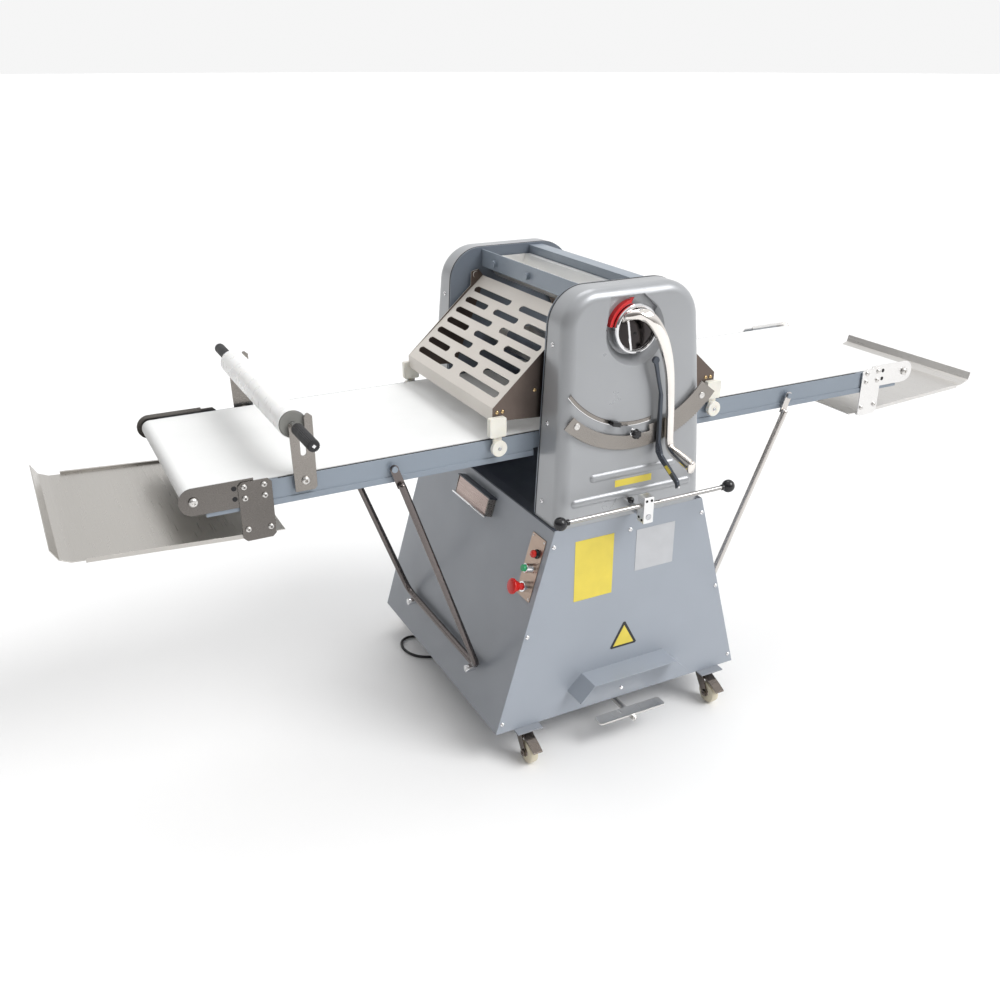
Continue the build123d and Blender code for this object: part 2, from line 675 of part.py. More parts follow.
def guard_slot(along, across, length):
    """One round-ended slot, in the guard plate's own plane."""
    return Pos(along, across, 0) * Rot(0, 0, 90) * SlotOverall(length, GUARD_SLOT)


def guard():
    """The slotted hood over the left infeed, with its pivot pins."""
    (x0, z0), (x1, z1) = GUARD_LOW, GUARD_HIGH
    length = math.dist(GUARD_LOW, GUARD_HIGH)
    slope = math.atan2(z1 - z0, x1 - x0)
    plane = Plane(origin=(x0, 0, z0), x_dir=(math.cos(slope), 0, math.sin(slope)),
                  z_dir=(-math.sin(slope), 0, math.cos(slope)))
    sheet = Pos(length / 2, 0, 0) * Rectangle(length, 2 * GUARD_HALF_Y)
    for row in range(GUARD_ROWS):
        along = 34 + row * 37.5
        if row % 2 == 0:
            spots = [(-130, 208), (130, 208)]
        else:
            spots = [(-168, 127), (0, 127), (168, 127)]
        for across, size in spots:
            sheet = sheet - guard_slot(along, across, size)
    top = extrude(plane * sheet, amount=-2)
    lip = block(x0, x0 + 2, -GUARD_HALF_Y, GUARD_HALF_Y, 899, z0 + 0.5)
    (px, pz) = GUARD_PIVOT
    cheek = outline_xz([(x0, 899), (x0, z0), (px - 16, pz - 28), (px - 14, pz + 9),
                        (px + 8, pz + 14), (px + 22, z1), (px + 20, pz - 30), (-182, 891),
                        (x0 + 12, 899)])
    parts = [top, lip]
    for side in (-1, 1):
        parts.append(slab(cheek, side * (GUARD_HALF_Y - 2), side * GUARD_HALF_Y))
        parts.append(rod_y(px, pz, 5, side * 250, side * 274))
        parts.append(rod_y(px, pz, 9, side * 250, side * 262))
    return fused(parts)


def guard_feet():
    """Nylon feet outside the rails, each with a guide wheel on its bolt."""
    x, z = FOOT_X, FOOT_WHEEL_Z
    foot = block(x - 22, x + 22, GUARD_HALF_Y, 272, 864, 912)
    stem = block(x - 13, x + 13, 262, 268, z, 866)
    wheel = disc(x, z)
    return both_sides(foot + stem + wheel)


def disc(x, z):
    """A guide wheel beside the rail."""
    return round_rims(rod_y(x, z, 20, 268, 280), 1.5)


# ---- controls ---------------------------------------------------------------------
HUB_R = 59.0
ARM_PATH = [(-24, -372, 1146), (12, -388, 1138), (50, -395, 1090), (73, -396, 1026),
            (84, -395, 950), (90, -392, 822)]
GRIP_END = (92.0, -484.0, 790.0)


def limb(start, end, width, depth):
    """A bar of rounded-rectangle section from one point to another."""
    a, b = Vector(*start), Vector(*end)
    run = b - a
    side = Vector(1, 0, 0) if abs(run.Z) > abs(run.X) else Vector(0, 0, 1)
    normal = run.normalized()
    x_dir = (side - normal * side.dot(normal)).normalized()
    plane = Plane(origin=start, x_dir=x_dir, z_dir=normal)
    section = plane * RectangleRounded(width, depth, min(width, depth) / 2 - 0.6)
    return extrude(section, amount=run.length)


def crank_handle():
    """Hub, journal, bowed arm and forward grip of the gap-setting crank."""
    hub = round_rims(rod_y(0, CRANK_Z, HUB_R, -361, -345), 3)
    parts = [hub, rod_y(0, CRANK_Z, 10, -346, -276)]
    parts.append(limb((-26, -358, 1140), ARM_PATH[1], 30, 18))
    for start, end in zip(ARM_PATH[1:-1], ARM_PATH[2:]):
        parts.append(limb(start, end, 25, 18))
        parts.append(Pos(*end) * Sphere(9))
    parts.append(Pos(*ARM_PATH[1]) * Sphere(9))
    knee = ARM_PATH[-1]
    parts.append(limb(knee, GRIP_END, 24, 30))
    return fused(parts)


TRIGGER_PIVOT = (40.0, -386.0, 1035.0)
TRIGGER_X = (57.0, 65.0)
TRIGGER_KNEE = 940.0


def crank_trigger():
    """The squeeze lever beside the arm: a link from the hub, then a blade under the grip."""
    rear = [(-391, 950), (-382, 950), (-383, 812), (-385, 800), (-388, 792)]
    front = [(-470, 748), (-474, 736), (-482, 742), (-478, 757), (-398, 812), (-391, 830)]
    face = make_face(Polyline(*[(0, y, z) for y, z in rear + front], close=True))
    width = TRIGGER_X[1] - TRIGGER_X[0]
    blade = Pos(TRIGGER_X[0], 0, 0) * extrude(face, amount=width, dir=(1, 0, 0))
    link = limb((61, -386.5, TRIGGER_KNEE), TRIGGER_PIVOT, 8, 9)
    px, py, pz = TRIGGER_PIVOT
    return fused([blade, link, rod_y(px, pz, 9, py - 4.5, py + 4.5)])


SECTOR_IN = 238.0
SECTOR_OUT = 290.0
SECTOR_Y = (-380.0, -377.0)
SECTOR_ARC = (-44.0, 52.0)
SECTOR_TEETH = 64
SECTOR_NARROW_IN = 254.0
SECTOR_STEP = 9.0


def polar(radius, degrees):
    """A point about the crank's axis, measured from straight down towards +X."""
    a = math.radians(degrees)
    return radius * math.sin(a), CRANK_Z - radius * math.cos(a)


def sector_relief():
    """The room cut from the rack's inner side, from its left end to the crank."""
    wedge = [(0, CRANK_Z)] + [polar(400, degrees) for degrees in (-60, -30, 0, SECTOR_STEP)]
    return plate(wedge, -390, -370) & rod_y(0, CRANK_Z, SECTOR_NARROW_IN, -390, -370)


def toothed_sector():
    """The arc-shaped rack in front of the cover, on two stand-off posts."""
    a0, a1 = SECTOR_ARC
    mid = (a0 + a1) / 2

    def at(radius, degrees):
        x, z = polar(radius, degrees)
        return (x, 0, z)

    edges = [ThreePointArc(at(SECTOR_OUT, a0), at(SECTOR_OUT, mid), at(SECTOR_OUT, a1)),
             Line(at(SECTOR_OUT, a1), at(SECTOR_IN, a1)),
             ThreePointArc(at(SECTOR_IN, a1), at(SECTOR_IN, mid), at(SECTOR_IN, a0)),
             Line(at(SECTOR_IN, a0), at(SECTOR_OUT, a0))]
    arc = slab(make_face(edges), *SECTOR_Y) - sector_relief()
    step = (a1 - a0 - 12) / SECTOR_TEETH
    notches = []
    for tooth in range(SECTOR_TEETH):
        x, z = polar(SECTOR_OUT, a0 + 6 + tooth * step)
        notches.append(rod_y(x, z, 2.2, -385, -372))
    arc = arc - notches
    for radius, degrees in ((266, a0 + 5), (264, a1 - 6)):
        x, z = polar(radius, degrees)
        arc = arc + rod_y(x, z, 8, SECTOR_Y[0] - 0.8, SECTOR_Y[0])
        arc = arc + rod_y(x, z, 7, SECTOR_Y[1], -358)
    return arc - cover_form(0, SIDE_PLATE_OUT, 30)


KNOB_DEG = -2.5
KNOB_RADIUS = 246.0


def stop_knob():
    """The clamp that limits the crank: sliding shoe, collar and lobed knob."""
    x, z = polar(KNOB_RADIUS, KNOB_DEG)
    shoe = rod_y(x, z, 9, -386, -380.4)
    knob = rod_y(x, z, 13, -404, -389)
    for lobe in range(6):
        a = math.radians(60 * lobe)
        knob = knob - rod_y(x + 15.5 * math.cos(a), z + 15.5 * math.sin(a), 4.5, -410, -380)
    return fused([shoe, rod_y(x, z, 6, -390, -385), knob])


LEVER_Y = -446.0
LEVER_Z = 696.0
LEVER_PIVOT_Z = 664.0
LEVER_HALF = 245.0
LEVER_R = 6.0
LEVER_BALL_R = 16.5


def control_lever():
    """The forward/reverse lever: clamp block on its axle, cross rod and two set-screws."""
    clamp = block(-20, 8, -460, -432, 652, 720)
    clamp = clamp + rod_y(0, LEVER_PIVOT_Z, 10, -432, -380.3)
    rod = rod_x(LEVER_Y, LEVER_Z, LEVER_R, -LEVER_HALF + 9, LEVER_HALF - 9)
    caps = [rod_y(x, 711, 3.6, -462, -460) for x in (-13, 1)]
    return fused([clamp, rod, *caps])


def lever_knobs():
    """A ball knob with a short neck on each end of the cross rod."""
    knobs = []
    for sign in (-1, 1):
        ball = Pos(sign * LEVER_HALF, LEVER_Y, LEVER_Z) * Rot(0, 90, 0) * Sphere(LEVER_BALL_R)
        inner = sign * (LEVER_HALF - 13)
        neck = rod_x(LEVER_Y, LEVER_Z, 8, inner, sign * (LEVER_HALF - 23))
        socket = rod_x(LEVER_Y, LEVER_Z, LEVER_R, sign * 200, sign * (LEVER_HALF - 9))
        knobs.append(ball + neck - socket)
    return knobs


PEDAL_SHAFT_Z = 70.0
PEDAL_SHAFT_R = 8.0
SHAFT_HANGERS_Y = (-312.0, -256.0)


def pedal():
    """The rocking foot bar welded across its shaft."""
    shaft = rod_y(0, PEDAL_SHAFT_Z, PEDAL_SHAFT_R, -446, -240)
    bar = block(-103, 103, -445, -409, PEDAL_SHAFT_Z + 6, PEDAL_SHAFT_Z + 11)
    corners = [e for e in bar.edges().filter_by(Axis.Z)]
    bar = fillet(corners, 8)
    return shaft + bar


def side_plane(y, z):
    """A plane on the left sloping side, its normal pointing out of the machine."""
    normal = (-math.cos(SIDE_ANGLE), 0, math.sin(SIDE_ANGLE))
    return Plane(origin=(-base_half(z), y, z), x_dir=(0, 1, 0), z_dir=normal)


PANEL_Y = -326.0
BUTTON_Y = -336.0
LAMP_Z = 567.0
START_Z = 530.0
STOP_Z = 482.0


def turned(y, z, radius, low, high):
    """A cylinder standing on the left side between two distances from it."""
    plane = side_plane(y, z)
    return extrude(plane.offset(low) * Circle(radius), amount=high - low)


def control_plate():
    """The steel legend plate with the lamp and the bezels of both buttons."""
    plane = side_plane(PANEL_Y, 529)
    sheet = extrude(plane.offset(0.3) * RectangleRounded(66, 166, 3), amount=2)
    lamp = fused([turned(BUTTON_Y, LAMP_Z, 12, 2.3, 7), turned(BUTTON_Y, LAMP_Z, 10, 7, 19)])
    start = turned(BUTTON_Y, START_Z, 12, 2.3, 26) - turned(BUTTON_Y, START_Z, 9.3, 10, 40)
    stop = turned(BUTTON_Y, STOP_Z, 14, 2.3, 20) - turned(BUTTON_Y, STOP_Z, 9.3, 6, 40)
    return [sheet, lamp, start, stop]


def start_button():
    return turned(BUTTON_Y, START_Z, 9, 16, 35)


def stop_button():
    """The mushroom-headed emergency stop."""
    plane = side_plane(BUTTON_Y, STOP_Z)
    stem = turned(BUTTON_Y, STOP_Z, 9, 12, 34)
    flare = plane.offset(38) * Cone(13, 20, 14)
    cap = turned(BUTTON_Y, STOP_Z, 20, 45, 52)
    return fused([stem, flare, cap])


def tool_pocket():
    """The pull on the left side: face plate on a top flange, with a rolled lower edge."""
    plane = side_plane(6, 588)
    face = extrude(plane.offset(20) * Pos(0, 2) * Rectangle(176, 50), amount=2)
    flange = extrude(plane.offset(0.3) * Pos(0, 27) * Rectangle(196, 4), amount=24)
    lip = extrude(plane.offset(20) * Pos(0, -24) * Rectangle(196, 3), amount=12)
    ends = [extrude(plane.offset(0.3) * Pos(x, 1) * Rectangle(3, 54), amount=20)
            for x in (-92, 92)]
    return fused([face, flange, lip, *ends])


# ---- casters ----------------------------------------------------------------------
FORK_TOP_Z = 92.0


def caster_plates():
    """The four pads welded under the base's floor plate, bored for the casters' kingpins."""
    plates = []
    for sx in (-1, 1):
        for sy in (-1, 1):
            x, y = sx * CASTER_X, sy * CASTER_SWIVEL_Y
            pad = block(x - 36, x + 36, y - 42, y + 17, 95, BASE_BOTTOM_Z)
            plates.append(pad - rod_z(x, y, 7.1, 90, 100))
    return plates


def caster_fork(sx, sy):
    """Swivel head, two cheeks and the wheel's axle of one caster."""
    x, y = sx * CASTER_X, sy * CASTER_SWIVEL_Y
    wheel_y = y + sy * CASTER_TRAIL
    head = rod_z(x, y, 22, 86, 94.6) + rod_z(x, y, 7, 86, 98.2)
    crown = block(x - 19, x + 19, y - 20, y + 20, 84, 88)
    reach = (y - sy * 18, y + sy * 20)
    parts = [head, crown]
    for side in (-1, 1):
        face = make_face(Polyline((0, reach[0], 86), (0, reach[1], 86),
                                  (0, wheel_y + sy * 9, 38), (0, wheel_y + sy * 9, 23),
                                  (0, wheel_y - sy * 9, 23), close=True))
        inner = x + side * 14
        cheek = Pos(min(inner, inner + side * 3), 0, 0) * extrude(face, amount=3, dir=(1, 0, 0))
        parts.append(cheek)
        parts.append(rod_x(wheel_y, WHEEL_R, 8, inner + side * 3, inner + side * 7))
    parts.append(rod_x(wheel_y, WHEEL_R, 4, x - 17, x + 17))
    return fused(parts)


def caster_wheel(sx, sy):
    x = sx * CASTER_X
    y = sy * (CASTER_SWIVEL_Y + CASTER_TRAIL)
    tyre = fillet(rod_x(y, WHEEL_R, WHEEL_R, x - 12, x + 12).edges().filter_by(GeomType.CIRCLE), 5)
    return tyre + rod_x(y, WHEEL_R, 10, x - 13.6, x + 13.6) - rod_x(y, WHEEL_R, 4.06, x - 20, x + 20)


BRAKE_PIVOT_Z = 76.0
BRAKE_PIVOT_OUT = 20.0


def caster_brake(sx):
    """The foot-operated brake tab of a front caster."""
    x = sx * CASTER_X
    y = -CASTER_SWIVEL_Y - BRAKE_PIVOT_OUT
    points = [(y + 5, 78), (y - 6, 81), (y - 40, 69), (y - 62, 58), (y - 63, 55),
              (y - 40, 66), (y - 5, 72.5), (y + 5, 72)]
    face = make_face(Polyline(*[(0, py, pz) for py, pz in points], close=True))
    tab = Pos(x - 13.5, 0, 0) * extrude(face, amount=27, dir=(1, 0, 0))
    return tab + rod_x(y, BRAKE_PIVOT_Z, 4.2, x - 13.5, x + 13.5)


# ---- mains lead -------------------------------------------------------------------
GLAND = (-296.0, 232.0)
CORD_FLOOR_Z = CORD_R + 0.5
COIL_CENTRE = (70.0, 526.5)
COIL_OUT_R = 58.0
COIL_IN_R = 33.0
COIL_H = 17.0
PLUG_OFFSET = (40.0, -50.0)
CORD_ROUTE = [(-296, 232, 60), (-296, 232, 41), (-298, 252, 20), (-310, 284, 6.5),
              (-338, 304, 4.5), (-368, 296, 4.5), (-384, 262, 4.5), (-381, 220, 4.5),
              (-360, 184, 4.5), (-324, 162, 4.5), (-272, 152, 4.5), (-216, 160, 4.5),
              (-168, 190, 4.5), (-128, 238, 4.5), (-98, 292, 4.5), (-82, 350, 4.5),
              (-58, 400, 4.5), (-20, 438, 4.5), (22, 458, 4.5), (62, 464.3, 4.5)]


def cord_radii(points):
    """Each corner's arc takes 0.45 of its shorter run."""
    radii = []
    for before, here, after in zip(points, points[1:], points[2:]):
        a = Vector(*here) - Vector(*before)
        b = Vector(*after) - Vector(*here)
        turn = math.radians(a.get_angle(b))
        radii.append(0.45 * min(a.length, b.length) / math.tan(turn / 2))
    return radii


def power_cord():
    """The free stretch of the lead, from its gland to the coil behind the machine."""
    radii = cord_radii(CORD_ROUTE)
    path = FilletPolyline(*CORD_ROUTE, radius=radii)
    tube = sweep(Plane(origin=CORD_ROUTE[0], z_dir=path % 0) * Circle(CORD_R), path=path)
    print("cord arcs", [round(r) for r in radii])
    print("cord length", round(path.length), "volume ratio",
          round(tube.volume / (math.pi * CORD_R ** 2 * path.length), 4))
    return tube


def cord_gland():
    """The threaded gland and tapered strain relief under the floor plate."""
    x, y = GLAND
    nut = rod_z(x, y, 12, 88, BASE_BOTTOM_Z)
    taper = Pos(x, y, 74) * Cone(5.2, 9, 28)
    return nut + taper


def cord_coil():
    """The put-away length, wound as one flat coil on the floor."""
    x, y = COIL_CENTRE
    return rod_z(x, y, COIL_OUT_R, 0.4, COIL_H) - rod_z(x, y, COIL_IN_R, -5, 30)


def plug():
    """A generic moulded mains plug lying beside the coil."""
    x, y = COIL_CENTRE[0] + PLUG_OFFSET[0], COIL_CENTRE[1] + PLUG_OFFSET[1]
    body = block(x + 20, x + 58, y - 20, y + 20, 0.4, 24)
    body = fillet(body.edges().filter_by(Axis.X), 6)
    neck = rod_x(y, 10, 7, x, x + 22)
    pins = [rod_x(y + dy, 12, 2.4, x + 58, x + 77) for dy in (-9.5, 9.5)]
    return fused([body, neck, *pins])


# ---- write every node -------------------------------------------------------------
def main():
    os.makedirs("parts", exist_ok=True)
    save("base_shell", fused([base_shell(), *caster_plates()]))
    save("base_deck", base_deck())
    save("front_panel", base_panel(-1) + pedal_guard())
    save("rear_panel", base_panel(1))
    save("side_plates", side_plates())
    save("front_cover", front_cover())
    save("rear_cover", rear_cover())
    save("cross_beams", cross_beams())
    save("drive_unit", [gear_motor(), motor_bridge(), drive_chain()])
    save("toothed_sector", toothed_sector())
    save("control_plate", control_plate())
    save("tool_pocket", tool_pocket())
    save("screws", screws())
    save("cord_gland", cord_gland())

    save("lower_roller", lower_roller() + sprocket(LOWER_ROLLER_Z, ROLLER_TEETH, 13))
    save("bearing_blocks", bearing_blocks())
    save("scrapers", scrapers())
    save("upper_roller", upper_roller())
    save("flour_tray", flour_tray())
    save("crank_handle", crank_handle())
    save("crank_trigger", crank_trigger())
    save("stop_knob", stop_knob())
    save("control_lever", [control_lever(), *lever_knobs()])
    save("pedal", pedal())
    save("start_button", start_button())
    save("stop_button", stop_button())

    for side in ("left", "right"):
        place = to_right if side == "right" else (lambda shape: shape)
        save(side + "_table_frame", place([table_frame(), *strut_bolts()]))
        save(side + "_belt", place(belt()))
        save(side + "_end_plates", place(end_plates()))
        save(side + "_end_roller", place(end_roller()))
        save(side + "_drive_roller", place(drive_roller()))
        save(side + "_tray", place(catch_tray(RIGHT_TRAY if side == "right" else LEFT_TRAY)))
        save(side + "_strut", place(strut()))
        save(side + "_guard", place(guard()))
        save(side + "_guard_feet", place(guard_feet()))

    save("pin_brackets", pin_brackets())
    save("pin_rod", pin_rod())
    save("pin_tube", pin_tube())

    for corner, sx, sy in (("front_left", -1, -1), ("front_right", 1, -1),
                           ("rear_left", -1, 1), ("rear_right", 1, 1)):
        save("fork_" + corner, caster_fork(sx, sy))
        save("wheel_" + corner, caster_wheel(sx, sy))
        if sy < 0:
            save("brake_" + corner, caster_brake(sx))

    save("power_cord", power_cord())
    save("cord_coil", cord_coil())
    save("plug", plug())


main()
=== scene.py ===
import json
import math

import bmesh
import bpy
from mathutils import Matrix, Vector


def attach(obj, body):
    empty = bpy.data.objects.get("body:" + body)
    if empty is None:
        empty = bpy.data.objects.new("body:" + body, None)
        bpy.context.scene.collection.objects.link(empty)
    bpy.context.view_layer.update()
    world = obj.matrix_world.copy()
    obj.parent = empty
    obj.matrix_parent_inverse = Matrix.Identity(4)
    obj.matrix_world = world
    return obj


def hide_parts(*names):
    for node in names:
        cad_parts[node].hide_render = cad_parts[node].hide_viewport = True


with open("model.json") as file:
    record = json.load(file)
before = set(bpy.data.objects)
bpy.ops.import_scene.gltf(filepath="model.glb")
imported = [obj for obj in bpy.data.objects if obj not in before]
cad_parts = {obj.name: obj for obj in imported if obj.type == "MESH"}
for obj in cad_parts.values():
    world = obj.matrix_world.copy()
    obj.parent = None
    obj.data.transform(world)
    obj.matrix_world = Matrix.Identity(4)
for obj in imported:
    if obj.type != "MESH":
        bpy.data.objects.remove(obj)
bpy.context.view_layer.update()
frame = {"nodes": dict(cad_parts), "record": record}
nodes = frame["nodes"]

# Lengths below are in millimetres from the belts' mid-plane; P() turns them into the frame's metres.
MID_Y = 30.0


def P(x, y, z):
    """A point given in millimetres, in the frame's metres."""
    return Vector((x, y + MID_Y, z)) / 1000


# ---- camera -----------------------------------------------------------------------
def add_camera():
    """A hand-held view from the front left, a little above the belts."""
    azimuth, elevation = math.radians(-27.23), math.radians(24.14)
    data = bpy.data.cameras.new("camera")
    data.lens = 36.14
    data.sensor_width = 36
    data.clip_start = 0.05
    data.clip_end = 400
    camera = bpy.data.objects.new("camera", data)
    bpy.context.scene.collection.objects.link(camera)
    back = Vector((math.sin(azimuth) * math.cos(elevation),
                   -math.cos(azimuth) * math.cos(elevation), math.sin(elevation)))
    camera.location = P(-1331.4, -2250.9, 1699.5)
    camera.rotation_euler = back.to_track_quat("Z", "Y").to_euler()
    bpy.context.scene.camera = camera


# ---- materials --------------------------------------------------------------------
class Finish:
    """A Principled material and the few node patterns that the finishes share."""

    def __init__(self, name, colour, roughness, metallic=0.0):
        self.material = bpy.data.materials.new(name)
        self.material.use_nodes = True
        self.tree = self.material.node_tree
        self.shader = self.tree.nodes["Principled BSDF"]
        self.shader.inputs["Base Color"].default_value = (*colour, 1)
        self.shader.inputs["Roughness"].default_value = roughness
        self.shader.inputs["Metallic"].default_value = metallic
        self.colour = colour
        self.roughness = roughness
        self.height = None

    def node(self, kind, **values):
        item = self.tree.nodes.new(kind)
        for key, value in values.items():
            setattr(item, key, value)
        return item

    def link(self, source, target):
        self.tree.links.new(source, target)

    def coords(self, stretch=(1, 1, 1)):
        mapping = self.node("ShaderNodeMapping")
        mapping.inputs["Scale"].default_value = stretch
        self.link(self.node("ShaderNodeTexCoord").outputs["Object"], mapping.inputs["Vector"])
        return mapping.outputs["Vector"]

    def noise(self, scale, detail=3, stretch=(1, 1, 1)):
        item = self.node("ShaderNodeTexNoise")
        item.inputs["Scale"].default_value = scale
        item.inputs["Detail"].default_value = detail
        self.link(self.coords(stretch), item.inputs["Vector"])
        return item.outputs["Fac"]

    def spread(self, source, low, high, start=0.3, end=0.7):
        """The source's start..end mapped on low..high."""
        item = self.node("ShaderNodeMapRange")
        for key, value in zip(("From Min", "From Max", "To Min", "To Max"), (start, end, low, high)):
            item.inputs[key].default_value = value
        self.link(source, item.inputs["Value"])
        return item.outputs["Result"]

    def mix(self, share, colour_a, colour_b):
        item = self.node("ShaderNodeMix", data_type="RGBA")
        self.link(share, item.inputs["Factor"])
        for socket, value in ((item.inputs[6], colour_a), (item.inputs[7], colour_b)):
            if hasattr(value, "is_linked"):
                self.link(value, socket)
            else:
                socket.default_value = (*value, 1)
        return item.outputs[2]

    def tint(self, source, amount):
        """Varies the base colour by the given share, lighter and darker."""
        dark = tuple(c * (1 - amount) for c in self.colour)
        light = tuple(min(1, c * (1 + amount)) for c in self.colour)
        out = self.mix(self.spread(source, 0, 1), dark, light)
        self.link(out, self.shader.inputs["Base Color"])
        return out

    def rough(self, source, amount):
        low, high = self.roughness - amount, self.roughness + amount
        self.link(self.spread(source, max(0.02, low), high), self.shader.inputs["Roughness"])

    def bump(self, source, strength, distance):
        item = self.node("ShaderNodeBump")
        item.inputs["Strength"].default_value = strength
        item.inputs["Distance"].default_value = distance
        self.link(source, item.inputs["Height"])
        if self.height is not None:
            self.link(self.height, item.inputs["Normal"])
        self.height = item.outputs["Normal"]
        self.link(self.height, self.shader.inputs["Normal"])

    def soft_edges(self, radius):
        item = self.node("ShaderNodeBevel", samples=4)
        item.inputs["Radius"].default_value = radius
        self.height = item.outputs["Normal"]
        self.link(self.height, self.shader.inputs["Normal"])


def paint(name, colour, roughness=0.38, metallic=0.0, peel=0.12):
    """Sprayed paint: faint orange peel, a little dust and handling sheen."""
    f = Finish(name, colour, roughness, metallic)
    f.soft_edges(0.0012)
    f.tint(f.noise(3.1, 4), 0.035)
    f.rough(f.noise(11, 5), 0.07)
    f.bump(f.noise(420, 2), peel, 0.0004)
    f.shader.inputs["Coat Weight"].default_value = 0.15
    f.shader.inputs["Coat Roughness"].default_value = 0.2
    return f.material


def brushed(name, colour, roughness, grain=(1, 0.03, 1), depth=0.12, smear=0.05):
    """Rolled or brushed metal: long fine scratches, faint stains and handling marks."""
    f = Finish(name, colour, roughness, 1.0)
    f.soft_edges(0.0006)
    lines = f.noise(500, 2, grain)
    f.tint(f.noise(9, 6, tuple(max(g, 0.15) for g in grain)), smear)
    f.rough(lines, 0.07)
    f.bump(lines, depth, 0.0001)
    return f.material


def polished(name, colour, roughness=0.08):
    """Chrome with faint smudges."""
    f = Finish(name, colour, roughness, 1.0)
    f.tint(f.noise(14, 5), 0.04)
    f.rough(f.noise(35, 5), 0.035)
    f.bump(f.noise(60, 2), 0.03, 0.0004)
    return f.material


def plastic(name, colour, roughness, grain=600.0, depth=0.15, depth_m=0.0003, subsurface=0.0):
    """Moulded plastic or rubber: fine texture and a slightly uneven sheen."""
    f = Finish(name, colour, roughness)
    f.soft_edges(0.0006)
    f.tint(f.noise(20, 4), 0.05)
    f.rough(f.noise(50, 4), 0.06)
    f.bump(f.noise(grain, 3), depth, depth_m)
    if subsurface:
        f.shader.inputs["Subsurface Weight"].default_value = subsurface
        f.shader.inputs["Subsurface Radius"].default_value = (0.004, 0.003, 0.002)
    return f.material


def weave(name, colour):
    """A coated food belt: a fine plain weave under a matt skin, with a trace of flour."""
    f = Finish(name, colour, 0.62)
    waves = []
    for axis in ("X", "Y"):
        item = f.node("ShaderNodeTexWave", bands_direction=axis)
        item.inputs["Scale"].default_value = 330
        item.inputs["Distortion"].default_value = 0.3
        f.link(f.coords(), item.inputs["Vector"])
        waves.append(item.outputs["Fac"])
    both = f.node("ShaderNodeMath", operation="MULTIPLY")
    f.link(waves[0], both.inputs[0])
    f.link(waves[1], both.inputs[1])
    f.tint(f.noise(5, 6), 0.03)
    f.rough(f.noise(25, 4), 0.06)
    f.bump(both.outputs["Value"], 0.25, 0.0003)
    return f.material


